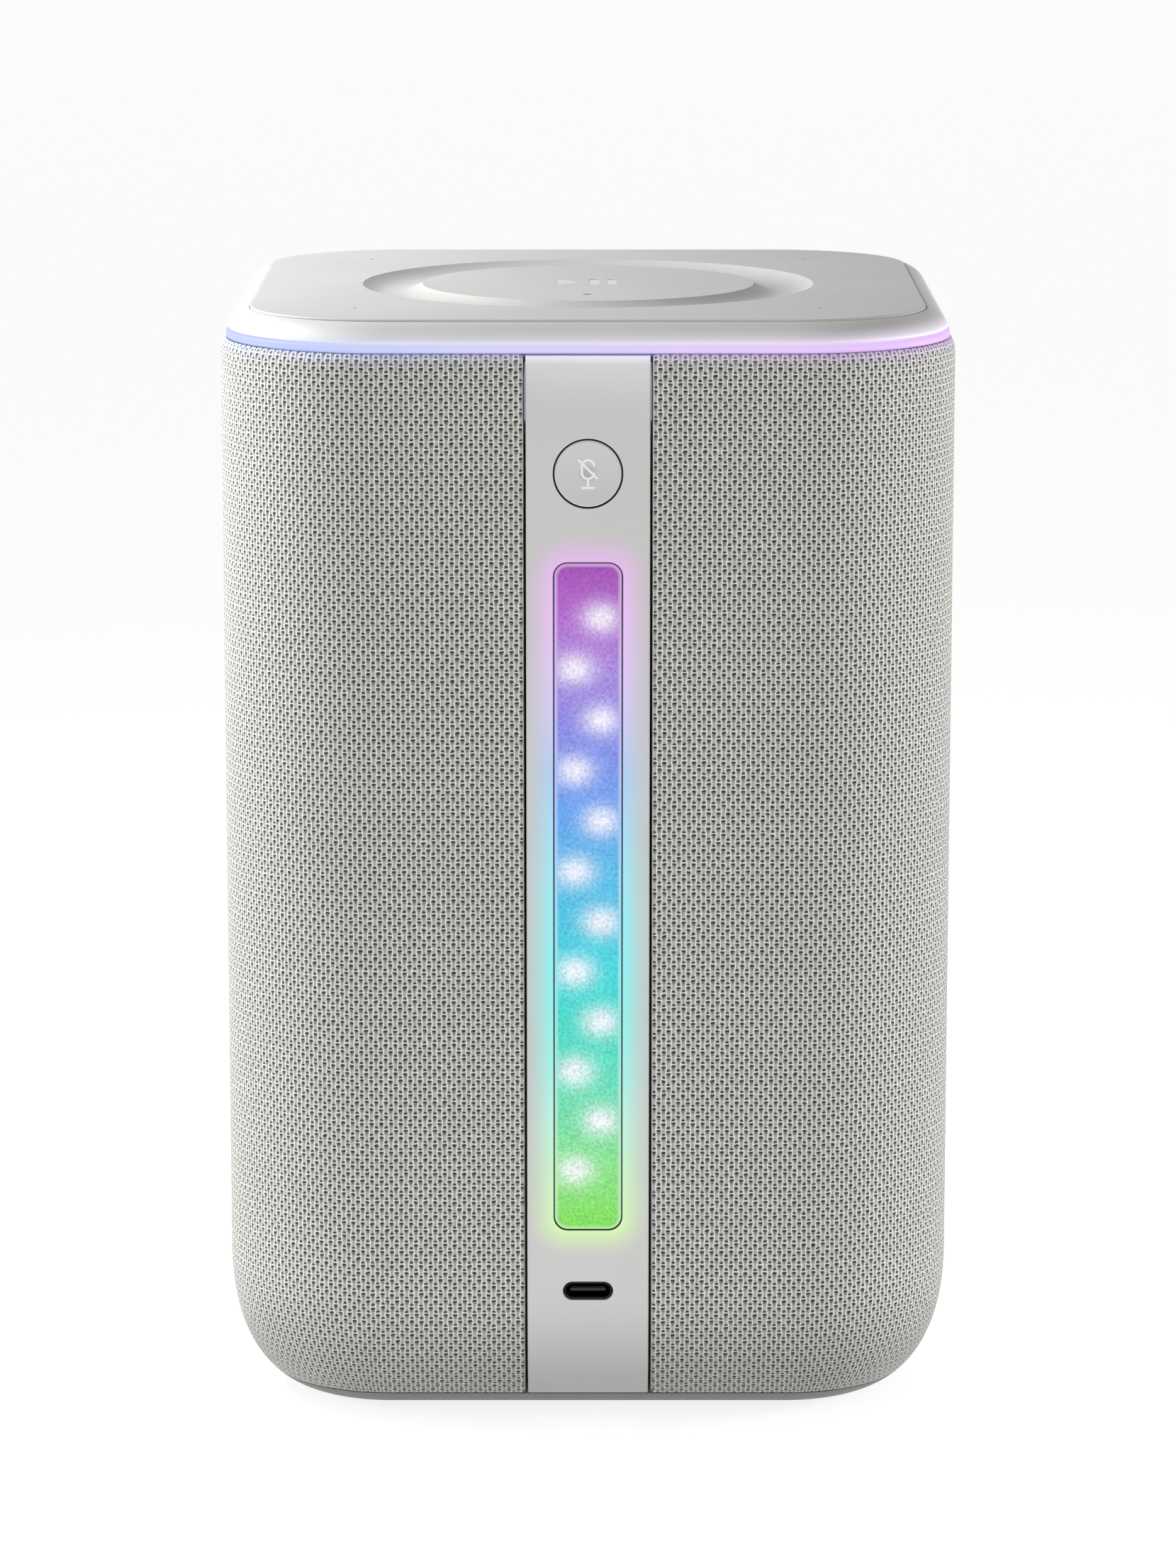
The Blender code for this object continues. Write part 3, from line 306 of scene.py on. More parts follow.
def baseCurve(low, offset, steps):
    start = math.asin((1 - low / body["baseRise"]) ** (body["basePower"] / 2))
    return cornerCurve(body["baseInset"], body["baseRise"], body["basePower"], start, 0.0, steps, offset)


def makeSweepTree():
    # Geometry Nodes: a section is carried round the filleted plan line; the two lengths become the UV map
    tree, given = startTree("sweep round the body", ("Geometry", "Geometry"), ("CornerRadius", "Float"),
                            ("CornerSteps", "Int"), ("PlanLength", "Float"), ("SectionLength", "Float"))
    isSection = addNode(tree, "InputNamedAttribute", {"Name": "section"}, data_type="BOOLEAN")
    parts = addNode(tree, "SeparateGeometry", {"Geometry": given["Geometry"], "Selection": isSection})
    plan = addNode(tree, "MeshToCurve", {"Mesh": parts.outputs["Inverted"]})
    corner = {"Curve": plan, "Radius": given["CornerRadius"], "Count": given["CornerSteps"]}
    plan = addNode(tree, "FilletCurve", corner, mode="POLY")
    plan = addNode(tree, "SetCurveNormal", {"Curve": plan}, mode="Z_UP")
    section = addNode(tree, "MeshToCurve", {"Mesh": parts.outputs["Selection"]})
    lines = []
    shares = []
    for line, name, whole in ((plan, "around", "PlanLength"), (section, "along", "SectionLength")):
        length = addNode(tree, "SplineParameter").outputs["Length"]
        lines.append(addNode(tree, "StoreNamedAttribute", {"Geometry": line, "Name": name, "Value": length}))
        stored = addNode(tree, "InputNamedAttribute", {"Name": name})
        shares.append(addNode(tree, "Math", [stored, given[whole]], "DIVIDE"))
    skin = addNode(tree, "CurveToMesh", {"Curve": lines[0], "Profile Curve": lines[1], "Fill Caps": True})
    place = addNode(tree, "CombineXYZ", shares)
    skin = addNode(tree, "StoreNamedAttribute",
                   {"Geometry": skin, "Name": "UVMap", "Value": place}, data_type="FLOAT2", domain="CORNER")
    endTree(tree, skin, given["Material"])
    return tree


sweepTree = makeSweepTree()


def lineLength(points, closed=False):
    ends = list(zip(points, points[1:])) + ([(points[-1], points[0])] if closed else [])
    return sum(math.dist(a, b) for a, b in ends)


def planLine(slot):
    # with a slot width the line stays open across the spine
    half = body["half"]
    corners = [(half, -half), (half, half), (-half, half), (-half, -half)]
    return [(slot / 2, -half), *corners, (-slot / 2, -half)] if slot else corners


def planLength(slot):
    return lineLength(planLine(slot), not slot) - (8 - 2 * math.pi) * body["corner"]


def sweepRound(name, section, material, slot=0.0, smooth=35):
    # section is a closed line of (inset, z)
    plan = planLine(slot)
    count = len(plan)
    points = [(x, y, 0) for x, y in plan] + [(-inset, -z, 0) for inset, z in section]
    edges = [(i, i + 1) for i in range(len(points) - 1) if i != count - 1] + [(len(points) - 1, count)]
    if not slot:
        edges.append((count - 1, 0))
    mesh = bpy.data.meshes.new(name)
    mesh.from_pydata(points, edges, [])
    flag = mesh.attributes.new("section", "BOOLEAN", "POINT")
    for i in range(len(points)):
        flag.data[i].value = i >= count
    piece = runTree(name, sweepTree, mesh, CornerRadius=body["corner"], CornerSteps=body["cornerSteps"],
                    PlanLength=planLength(slot), SectionLength=lineLength(section, True), Material=material)
    bm = bmesh.new()
    bm.from_mesh(piece.data)
    bmesh.ops.remove_doubles(bm, verts=bm.verts, dist=0.002 * mm)
    bmesh.ops.recalc_face_normals(bm, faces=bm.faces)
    bm.to_mesh(piece.data)
    bm.free()
    smoothen(piece.data, smooth)
    return piece


# ---- camera, light and floor
view = {
    "distance": 1.0927,         # from the middle of the body
    "above": 0.1175,            # over the touch plate
    "pitch": 11.163,            # degrees down
    "lens": 130.92,
}
studio = {
    # lamp: (watts, place, size)
    "lamps": {
        "key": (1.22, (-0.24, 0.03, 0.37), 0.14),
        "rimLeft": (1.7, (-0.62, 0.10, 0.08), 0.24),
        "rimRight": (2.7, (0.62, 0.10, 0.08), 0.24),
    },
    "aim": 0.6,                 # share of the body's height
    "fade": (0.10, 0.80),       # the room dims between these heights in the sky
    "overhead": (1.08, 0.16),   # its light at the horizon and at the top
    "sideways": (1.08, 0.92),   # its share at the left and at the right
    "lengthways": (1.12, 0.72),     # and behind the camera and beyond the speaker
    "floorHalf": 6.0,
    "floorGlow": 0.74,
}


def makeStage():
    scene = bpy.context.scene
    scene.view_settings.view_transform = "Standard"
    cameraData = bpy.data.cameras.new("camera")
    cameraData.lens = view["lens"]
    cameraData.sensor_width = 36
    camera = bpy.data.objects.new("camera", cameraData)
    camera.location = (0, -view["distance"], body["height"] + view["above"])
    camera.rotation_euler = (math.radians(90 - view["pitch"]), 0, 0)
    scene.collection.objects.link(camera)
    scene.camera = camera

    target = Vector((0, 0, body["height"] * studio["aim"]))
    for name, (power, place, size) in studio["lamps"].items():
        data = bpy.data.lights.new(name, "AREA")
        data.energy = power
        data.size = size
        lamp = bpy.data.objects.new(name, data)
        lamp.location = place
        lamp.rotation_euler = (target - lamp.location).to_track_quat("-Z", "Y").to_euler()
        scene.collection.objects.link(lamp)

    # the room's soft light: bright round the horizon, dimmer overhead, a little brighter on the left
    world = bpy.data.worlds.new("softStudio")
    world.use_nodes = True
    tree = world.node_tree
    tree.nodes.clear()
    direction = addNode(tree, "TexCoord").outputs["Generated"]
    x, y, z = addNode(tree, "SeparateXYZ", [direction]).outputs
    level = 1.0
    for name, axis, low, high in (("overhead", z, *studio["fade"]), ("sideways", x, -1, 1),
                                  ("lengthways", y, -1, 1)):
        share = addNode(tree, "MapRange", [axis, low, high, *studio[name]])
        level = addNode(tree, "Math", [share, level], "MULTIPLY")
    soft = addNode(tree, "Background", {"Color": (1, 1, 1, 1), "Strength": level})
    addNode(tree, "OutputWorld", {"Surface": soft})
    scene.world = world

    paper, tree, shader, place = startMaterial("white paper sweep", {
        "Roughness": 0.9, "Emission Color": (1, 1, 1, 1), "Emission Strength": studio["floorGlow"]})
    addGrain(tree, shader, place, 3 * mm, ("#C6C6C6", "#CACACA"))
    bm = bmesh.new()
    bmesh.ops.create_grid(bm, x_segments=1, y_segments=1, size=studio["floorHalf"])
    meshFrom("paperFloor", bm, paper)


makeStage()
print("camera, light and floor are in place")

# ---- light bar: what the lamps behind it send out
bar = {
    "size": (6.12 * mm, 62.6 * mm, 2.4 * mm),   # half width, half height, corner
    "flange": 1.5 * mm,
    "flangeThick": 0.9 * mm,
    "edge": 0.25 * mm,
    "front": -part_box("light_bar_window")[0].y,
    "back": -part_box("light_bar_window")[1].y,
    "centre": middle("light_bar_window").z,
    "lampCount": 12,
    "firstLamp": middle("led_01"),
    "lastLamp": middle("led_12"),
    "spot": (2.35 * mm, 1.95 * mm),     # how far one lamp spreads across and along the bar
    "spotColour": "#F6F3FC",
    "whiten": 0.86,
    "rim": 0.50 * mm,           # the clear rim outside the prisms
    "rimSoft": 0.25 * mm,
    "rimPale": 0.34,
    "prism": 0.55 * mm,         # drawn coarser than the real prisms, which would not show
    "sparkle": (0.70, 1.24),
    "colours": ["#9E3CB0", "#AC60CA", "#A582DA", "#8681E0", "#7391E8", "#559FE8", "#4EB8E6", "#36C0DF",
                "#2AD4D8", "#2CD4C3", "#53D9BB", "#6AD8A1", "#80DF7C", "#78DA44"],
    "haloColours": ["#E3B5EA", "#E6BDF2", "#DFC4F4", "#CDC7F3", "#A9CBF2", "#A0DAF2", "#96E6F3", "#8BECF3",
                    "#7EF1F0", "#88F1EA", "#9AF2E6", "#B6F3DE", "#C4F3C4", "#D4F2AE"],
}
bar["pitch"] = (bar["firstLamp"].z - bar["lastLamp"].z) / (bar["lampCount"] - 1)
unlit = hexColour("#000000")
darkPlastic = hexColour("#1A1A1A")


def apart(tree, value, centre):
    away = addNode(tree, "Math", [value, centre], "SUBTRACT")
    return addNode(tree, "Math", [away], "ABSOLUTE")


def ellipse(tree, *axes):
    # squared distance from a centre in radii; each axis gives its value, centre and radius
    away = 0.0
    for value, centre, radius in axes:
        step = addNode(tree, "Math", [apart(tree, value, centre), radius], "DIVIDE")
        away = addNode(tree, "Math", [step, step, away], "MULTIPLY_ADD")
    return away


def lampColour(tree, height, colours):
    # the running colour of the lamps at any height, violet at the top and green at the foot
    tall = 2 * bar["size"][1]
    top = bar["centre"] + tall / 2
    ramp = addNode(tree, "ValToRGB", [addNode(tree, "MapRange", [height, top, top - tall])])
    places = [(top - bar["firstLamp"].z + k * bar["pitch"]) / tall for k in range(bar["lampCount"])]
    setRamp(ramp, list(zip([0.0, *places, 1.0], colours)))
    return ramp


def barDistance(tree, x, z):
    # how far a point lies outside the window's rounded outline, negative inside it
    halfX, halfZ, corner = bar["size"]
    away = 0.0
    for along, half, centre in ((x, halfX, 0.0), (z, halfZ, bar["centre"])):
        side = addNode(tree, "Math", [apart(tree, along, centre), half - corner], "SUBTRACT")
        side = addNode(tree, "Math", [side, 0.0], "MAXIMUM")
        away = addNode(tree, "Math", [side, side, away], "MULTIPLY_ADD")
    away = addNode(tree, "Math", [away], "SQRT")
    return addNode(tree, "Math", [away, corner], "SUBTRACT")


def shineThrough(tree, shader, seen, share, strength):
    # milky plastic hides its own colour behind its light
    dark = addNode(tree, "Mix", [share, darkPlastic, seen], data_type="RGBA")
    feed(shader, {"Base Color": dark, "Emission Color": seen, "Emission Strength": strength})


def makeDiffuser():
    # Milky polycarbonate with a fine prism pattern, lit from behind: soft white spots in a running colour
    material, tree, shader, place = startMaterial("milky polycarbonate, prism moulded", {"Roughness": 0.30})
    x, y, z = addNode(tree, "SeparateXYZ", [place]).outputs
    colour = lampColour(tree, z, bar["colours"])
    row = 2 * bar["pitch"]
    glow = 0.0
    for odd in (0, 1):
        # lamps sit in two staggered rows, so each row is every second lamp
        down = addNode(tree, "Math", [bar["firstLamp"].z - odd * bar["pitch"], z], "SUBTRACT")
        down = addNode(tree, "Math", [down, row], "DIVIDE")
        nearest = addNode(tree, "Math", [down], "ROUND")
        nearest = addNode(tree, "Clamp", {"Value": nearest, "Max": bar["lampCount"] / 2 - 1})
        reach = ellipse(tree, (x, bar["firstLamp"].x * (1 - 2 * odd), bar["spot"][0]),
                        (down, nearest, bar["spot"][1] / row))
        reach = addNode(tree, "Math", [reach, -0.5], "MULTIPLY")
        spot = addNode(tree, "Math", [reach], "EXPONENT")
        glow = addNode(tree, "Math", [spot, bar["whiten"], glow], "MULTIPLY_ADD",
                       use_clamp=True)
    lit = addNode(tree, "Mix", [glow, colour, hexColour(bar["spotColour"])], data_type="RGBA")
    prism = addNode(tree, "TexNoise", [place, 1 / bar["prism"], 3.0])
    sparkle = addNode(tree, "MapRange", [prism, 0.25, 0.75, *bar["sparkle"]])
    lit = addNode(tree, "VectorMath", [lit, sparkle], "MULTIPLY")
    # the clear rim carries an even, paler light
    pale = addNode(tree, "Mix", [bar["rimPale"], colour, hexColour("#F4F0FF")], data_type="RGBA")
    edge = addNode(tree, "MapRange", [barDistance(tree, x, z), -bar["rim"] - bar["rimSoft"],
                                      -bar["rim"] + bar["rimSoft"]])
    seen = addNode(tree, "Mix", [edge, lit, pale], data_type="RGBA")
    # the sides, down in the gap, are painted dim, a painted shade that draws the gap as a dark line
    front = addNode(tree, "MapRange", [y, 0.3 * mm - bar["front"], 0.6 * mm - bar["front"], 1.0, 0.12])
    seen = addNode(tree, "Mix", [front, unlit, seen], data_type="RGBA")
    shineThrough(tree, shader, seen, 0.08, 0.94)
    lift = addNode(tree, "Bump", {"Strength": 0.2, "Distance": 0.06 * mm, "Height": prism})
    feed(shader, {"Normal": lift})
    return material


def makeLightBar():
    flangeTop = bar["back"] + bar["flangeThick"]
    rings = [ringAt(bar["size"], -bar["flange"], z) for z in (bar["back"], flangeTop)]
    rings.append((*bar["size"], flangeTop))
    rings += [ringAt(bar["size"], inset, bar["front"] - drop) for inset, drop in quarter(bar["edge"], 3)]
    piece = loft("lightBar", rings, makeDiffuser())
    standRear(piece, bar["centre"], "body", "bar_diffuser", "light_bar_window")


makeLightBar()
print("the light bar is lit")

# ---- light ring under the shoulder
ring = {
    "half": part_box("light_ring")[1].x,
    "low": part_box("light_ring")[0].z,
    "top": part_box("light_ring")[1].z,
    "innerHalf": 58.0 * mm,
    "deep": 0.40 * mm,          # the lower edge that glows in a deeper colour
    "topEdge": 0.40 * mm,
    "lowEdge": 0.12 * mm,
    "cloud": 9 * mm,
    # from -X to +X
    "colours": ["#C0CCFF", "#CDD5FB", "#D8D8F9", "#DFD6FA", "#E6D2FA", "#E8CDFB", "#E8C4FD"],
    "deepColours": ["#9DB0FF", "#ADB9FD", "#BEBCFB", "#C8BBFB", "#D4B4FC", "#D9ABFC", "#D69CFE"],
}


def ringColour(tree, across, colours):
    level = addNode(tree, "MapRange", [across, -ring["half"], ring["half"]])
    ramp = addNode(tree, "ValToRGB", [level])
    setRamp(ramp, [(k / (len(colours) - 1), colour) for k, colour in enumerate(colours)])
    return ramp


def addSpill(tree, place, glow, start, reach, strength, colours):
    # the ring's light, fading over reach, on the piece just above it or below it
    x, y, z = addNode(tree, "SeparateXYZ", [place]).outputs
    near = addNode(tree, "MapRange", [z, start + reach, start, 0.0, strength],
                   interpolation_type="SMOOTHSTEP")
    return addNode(tree, "Mix", [near, glow, ringColour(tree, x, colours)], data_type="RGBA")


def makeRing():
    # Milky polycarbonate light pipe: an even glow from blue to pink, deeper in colour at its lower edge
    material, tree, shader, place = startMaterial("milky polycarbonate light pipe", {
        "Roughness": 0.55, "Specular IOR Level": 0.25})
    x, y, z = addNode(tree, "SeparateXYZ", [place]).outputs
    off = addNode(tree, "MapRange", [z, ring["low"] + ring["deep"], ring["low"]])
    cloudy = addNode(tree, "TexNoise", [place, 1 / ring["cloud"]])
    off = addNode(tree, "Math", [cloudy, 0.2, off], "MULTIPLY_ADD", use_clamp=True)
    seen = addNode(tree, "Mix", [off, ringColour(tree, x, ring["colours"]),
                                           ringColour(tree, x, ring["deepColours"])], data_type="RGBA")
    shineThrough(tree, shader, seen, 0.03, 0.93)
    inset = body["half"] - ring["half"]
    reach = body["half"] - ring["innerHalf"]
    section = [(reach, ring["top"])]
    section += [(inset + i, ring["top"] - drop) for i, drop in quarter(ring["topEdge"], 4, inwards=False)]
    section += [(inset + i, ring["low"] + drop) for i, drop in quarter(ring["lowEdge"], 4)]
    section.append((reach, ring["low"]))
    stand(sweepRound("lightRing", section, material), "body", "ring_diffuser", "light_ring")


makeRing()

# ---- knitted sleeve
sleeve = {
    "top": 201.25 * mm,
    "thick": 1.0 * mm,
    "curlIn": 1.1 * mm,
    "curlRise": 3.0 * mm,
    "curlEnd": 84,              # degrees
    "slot": 23.5 * mm,
    "hem": 0.55 * mm,           # how far round the slot's edge the cloth turns
    "rib": 0.90 * mm,           # spacing of the knit's columns
    "stitch": 2.73 * mm,        # one repeat up a column
    "wander": 2.2 * mm,
    "fibre": 0.45 * mm,         # drawn coarser than real fibres, which would not show
    # eyelet: (height in the repeat, half width, half height, how dark)
    "eyelets": ((0.0, 0.48, 0.095, 1.0), (-0.14, 0.22, 0.120, 0.60), (0.26, 0.38, 0.080, 1.0)),
    "crossing": 0.13,           # height of the thread between the two large eyelets
    "thread": "#EAE9E3",
    "ground": "#ABABA6",
    "hole": "#2E2E2D",
    "lowClothShade": 0.60,               # brightness of the painted shade at the foot of the base curve
    "spill": (-2.6 * mm, 0.26),     # the ring's light: reach and strength
}


def sleeveSide(offset):
    end = math.radians(sleeve["curlEnd"])
    curl = cornerCurve(sleeve["curlIn"], sleeve["curlRise"], 2.0, 0.0, end, 8, offset)
    return baseCurve(body["baseLow"], offset, 24) + [(inset, sleeve["top"] - depth) for inset, depth in curl]


def makeKnit(sectionLength):
    # Warp-knitted polyester: matt pale strands that weave from side to side round staggered dark eyelets
    material, tree, shader, place = startMaterial("knitted polyester", {
        "Roughness": 0.9, "Sheen Weight": 0.35, "Sheen Roughness": 0.4})
    x, y, z = addNode(tree, "SeparateXYZ", [place]).outputs
    uv = addNode(tree, "UVMap", uv_map="UVMap")
    u, v, _ = addNode(tree, "SeparateXYZ", [uv]).outputs
    wander = addNode(tree, "TexNoise", [place, 1 / sleeve["wander"], 1.0])
    wobble = addNode(tree, "MapRange", [wander, 0.0, 1.0, -0.14, 0.14])
    columns = 2 * round(planLength(sleeve["slot"]) / sleeve["rib"] / 2)
    across = addNode(tree, "Math", [u, columns, wobble], "MULTIPLY_ADD")
    column = addNode(tree, "Math", [across], "FLOOR")
    odd = addNode(tree, "Math", [column, 2.0], "FLOORED_MODULO")
    along = addNode(tree, "Math", [v, sectionLength / sleeve["stitch"], wobble], "MULTIPLY_ADD")
    along = addNode(tree, "Math", [odd, 0.5, along], "MULTIPLY_ADD")
    side = addNode(tree, "Math", [across], "FRACT")
    side = apart(tree, side, 0.5)
    up = addNode(tree, "Math", [along], "FRACT")
    up = addNode(tree, "Math", [up, 0.5], "SUBTRACT")
    # each repeat of a column holds a large eyelet with a narrow tail on one side, and a smaller one
    hole = 0.0
    for height, wide, tall, deep in sleeve["eyelets"]:
        reach = ellipse(tree, (side, 0.0, wide), (up, height, tall))
        eyelet = addNode(tree, "MapRange", [reach, 0.10, 1.60, deep, 0.0], interpolation_type="SMOOTHSTEP")
        hole = addNode(tree, "Math", [eyelet, hole], "MAXIMUM")
    # the strand between two columns bends away from whichever eyelet is beside it
    sway = addNode(tree, "Math", [up, math.tau], "MULTIPLY")
    sway = addNode(tree, "Math", [sway], "COSINE")
    sway = addNode(tree, "Math", [sway, 0.10, 0.5], "MULTIPLY_ADD")
    strand = addNode(tree, "MapRange", [apart(tree, side, sway), 0.03, 0.28, 1.0, 0.0],
                     interpolation_type="SMOOTHSTEP")
    # and a thread crosses between the two eyelets
    cross = addNode(tree, "MapRange", [apart(tree, up, sleeve["crossing"]), 0.02, 0.08, 0.85, 0.0],
                    interpolation_type="SMOOTHSTEP")
    strand = addNode(tree, "Math", [strand, cross], "MAXIMUM")
    fibre = addNode(tree, "TexNoise", [place, 1 / sleeve["fibre"]])
    height = addNode(tree, "Math", [fibre, 0.35, strand], "MULTIPLY_ADD")
    height = addNode(tree, "Math", [height, hole], "SUBTRACT")
    shade = addNode(tree, "Mix", [strand, hexColour(sleeve["ground"]), hexColour(sleeve["thread"])],
                    data_type="RGBA")
    shade = addNode(tree, "Mix", [hole, shade, hexColour(sleeve["hole"])], data_type="RGBA")
    mottle = addNode(tree, "MapRange", [fibre, 0.25, 0.75, 0.80, 1.16])
    # painted shade: the cloth and its mottle are painted darker towards the foot of the base curve
    lowClothShade = addNode(tree, "MapRange", [z, body["baseLow"], body["shadeHigh"], sleeve["lowClothShade"], 1.0],
                   interpolation_type="SMOOTHSTEP")
    mottle = addNode(tree, "Math", [mottle, lowClothShade], "MULTIPLY")
    shade = addNode(tree, "VectorMath", [shade, mottle], "MULTIPLY")
    bump = addNode(tree, "Bump", {"Strength": 0.8, "Distance": 0.20 * mm, "Height": height})
    spill = addSpill(tree, place, unlit, ring["low"], *sleeve["spill"], ring["deepColours"])
    feed(shader, {"Base Color": shade, "Normal": bump, "Emission Color": spill, "Emission Strength": 1.0})
    return material


def makeSleeve():
    outer = sleeveSide(0.0)
    section = outer + sleeveSide(sleeve["thick"])[::-1]
    piece = sweepRound("fabricSleeve", section, makeKnit(lineLength(section, True)), slot=sleeve["slot"])
    # the cloth turns in round the slot's two long edges
    bm = bmesh.new()
    bm.from_mesh(piece.data)
    heart = Vector((0, 0, body["height"] / 2))
    edges = []
    for edge in bm.edges:
        onSlot = all(abs(abs(v.co.x) - sleeve["slot"] / 2) < 0.01 * mm and v.co.y < 0 for v in edge.verts)
        skins = [face for face in edge.link_faces if abs(face.normal.x) < 0.7]
        if onSlot and len(skins) == 1 and skins[0].normal.dot(edge.verts[0].co - heart) > 0:
            edges.append(edge)
    bmesh.ops.bevel(bm, geom=edges, offset=sleeve["hem"], segments=4, profile=0.5, affect="EDGES")
    bm.to_mesh(piece.data)
    bm.free()
    piece.data.set_sharp_from_angle(angle=math.radians(50))
    stand(piece, "body", "knit_sleeve", "fabric_sleeve")


makeSleeve()

# ---- rear spine
spine = {
    "halfWidth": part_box("rear_spine")[1].x,
    "thick": 2.2 * mm,
    "top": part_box("rear_spine")[1].z,
    "edge": 0.35 * mm,
    "lip": 0.12 * mm,           # rounding of each hole's mouth
    "holeDepth": 4.0 * mm,
    "shades": ("#CACAC8", "#CFCFCD"),
    # painted shade in the gaps: its colour, and the height above which it is painted
    "gapShade": "#161616",
    "gapShadeLow": 38.0 * mm,
    # painted shade near the floor: its colour, and its share at the very foot
    "lowShade": ("#8C8C8A", 0.75),
    "haloReach": 5.3 * mm,
    "haloPower": 1.35,          # how quickly the bar's light fades on the plastic
    "haloBase": "#262626",
    "violet": (-2.2 * mm, 0.42),    # the ring's light: reach and strength
    "pale": (-11 * mm, 0.10),
}
button = {
    "centre": middle("mute_button").z,
    "radius": 6.1 * mm,
    "flange": 7.4 * mm,
    "flangeThick": 0.8 * mm,
    "dish": 0.45 * mm,
    "edge": 0.3 * mm,
    "face": -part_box("mute_button")[0].y,
    "back": -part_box("mute_button")[1].y,
}
inlet = {
    "centre": middle("usb_shell").z,
    "size": (4.47 * mm, 1.58 * mm, 1.578 * mm),     # half width, half height, corner
    "wall": 0.3 * mm,
    "clearance": 0.2 * mm,
    "mouth": -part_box("usb_shell")[0].y,
    "back": -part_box("usb_shell")[1].y,
}


def satinShell(name, grainSize, withPaintedShade):
    # Satin moulded polycarbonate: pale warm grey with a fine spark-eroded grain that softens each highlight
    material, tree, shader, place = startMaterial(name, {"Roughness": 0.42})
    tint = addGrain(tree, shader, place, 30 * mm, spine["shades"])
    addGrain(tree, shader, place, grainSize, None, 3.0, (0.36, 0.50), (0.35, 0.02 * mm))
    if withPaintedShade:
        # painted shade: black painted down in the gaps above the base curve, so that each gap shows as a
        # crisp dark line
        x, y, z = addNode(tree, "SeparateXYZ", [place]).outputs
        deep = addNode(tree, "MapRange", [y, 0.4 * mm - body["half"], 0.6 * mm - body["half"]])
        high = addNode(tree, "Math", [z, spine["gapShadeLow"]], "GREATER_THAN")
        deep = addNode(tree, "Math", [deep, high], "MULTIPLY")
        tint = addNode(tree, "Mix", [deep, tint, hexColour(spine["gapShade"])], data_type="RGBA")
        # painted shade: the colour turns to a darker grey towards the foot of the base curve
        colour, most = spine["lowShade"]
        lowPlasticShade = addNode(tree, "MapRange", [z, body["baseLow"], body["shadeHigh"], most, 0.0],
                        interpolation_type="SMOOTHSTEP")
        tint = addNode(tree, "Mix", [lowPlasticShade, tint, hexColour(colour)], data_type="RGBA")
        feed(shader, {"Base Color": tint})
    return material, tree, shader, place, tint


def addGlow(tree, shader, place, tint):
    # light that the bar and the ring throw on the plastic round them, on its face but not down the holes
    x, y, z = addNode(tree, "SeparateXYZ", [place]).outputs
    near = addNode(tree, "MapRange", [barDistance(tree, x, z), body["gap"],
                                      body["gap"] + spine["haloReach"], 1.0, 0.0])
    near = addNode(tree, "Math", [near, spine["haloPower"]], "POWER")
    dark = addNode(tree, "Mix", [near, tint, hexColour(spine["haloBase"])], data_type="RGBA")
    face = addNode(tree, "MapRange", [y, 0.15 * mm - body["half"], 0.35 * mm - body["half"], 1.0, 0.0])
    near = addNode(tree, "Math", [near, face], "MULTIPLY")
    glow = addNode(tree, "Mix", [near, unlit, lampColour(tree, z, bar["haloColours"])],
                   data_type="RGBA")
    glow = addSpill(tree, place, glow, ring["low"], *spine["violet"], ring["deepColours"])
    glow = addSpill(tree, place, glow, ring["low"], *spine["pale"], ["#FFFFFF", "#FFFFFF"])
    feed(shader, {"Base Color": dark, "Emission Color": glow, "Emission Strength": 0.97})


def flared(size, height, steps=12):
    # a cutter for a hole in the spine, whose mouth is rounded
    face = body["half"]
    rings = [(*size, face - spine["holeDepth"])]
    rings += [ringAt(size, -grow, face - drop) for grow, drop in quarter(spine["lip"], 3)]
    rings.append(ringAt(size, -spine["lip"] - mm, face + mm))
    return faceRear(loft("hole", rings, steps=steps), height)


def makeSpine():
    # one line up the spine for each step round its cross-section
    arc = [(spine["halfWidth"] - inset, drop) for inset, drop in quarter(spine["edge"], 5)]
    half = [(spine["halfWidth"], spine["thick"]), *arc]
    bm = bmesh.new()
    lines = []
    for x, depth in [(-x, depth) for x, depth in half] + half[::-1]:
        line = baseCurve(body["baseLow"], depth, 24) + [(depth, spine["top"])]
        lines.append([bm.verts.new((x, inset - body["half"], z)) for inset, z in line])
    for first, second in zip(lines, lines[1:] + lines[:1]):
        for a, b, c, d in zip(first, first[1:], second[1:], second):
            bm.faces.new((a, b, c, d))
    for end in (0, -1):
        bm.faces.new([line[end] for line in lines])
    material, *parts = satinShell("satin polycarbonate, spark eroded", 0.45 * mm, True)
    addGlow(*parts)
    piece = meshFrom("rearSpine", bm, material)
    gap = body["gap"]
    radius = button["radius"] + gap
    halfX, halfZ, corner = bar["size"]
    cut(piece, [flared((halfX + gap, halfZ + gap, corner + gap), bar["centre"]),
                flared((radius, radius, radius * 0.999), button["centre"], 16),
                flared([half + inlet["clearance"] for half in inlet["size"]], inlet["centre"], 10)])
    stand(piece, "body", "spine_plastic", "rear_spine")


makeSpine()
print("the spine is cut")


# ---- mute button and its printed sign
def dishDepth(radius):
    share = min(radius / (button["radius"] - button["edge"]), 1.0)
    return button["dish"] * (1 - share ** 2)


def makeButton():
    radius, face, back = button["radius"], button["face"], button["back"]
    across = [0.94 * radius * step / 20 for step in range(21)]
    profile = [(x, face - dishDepth(x)) for x in across]
    profile += [(radius - inset, face - drop) for inset, drop in quarter(button["edge"], 5, inwards=False)]
    flangeTop = back + button["flangeThick"]
    profile += [(radius, flangeTop), (button["flange"], flangeTop), (button["flange"], back), (0, back)]
    material = satinShell("satin polycarbonate button", 0.3 * mm, True)[0]
    piece = turn("muteButton", profile, material)
    standRear(piece, button["centre"], "mute_button", "button_plastic", "mute_button")


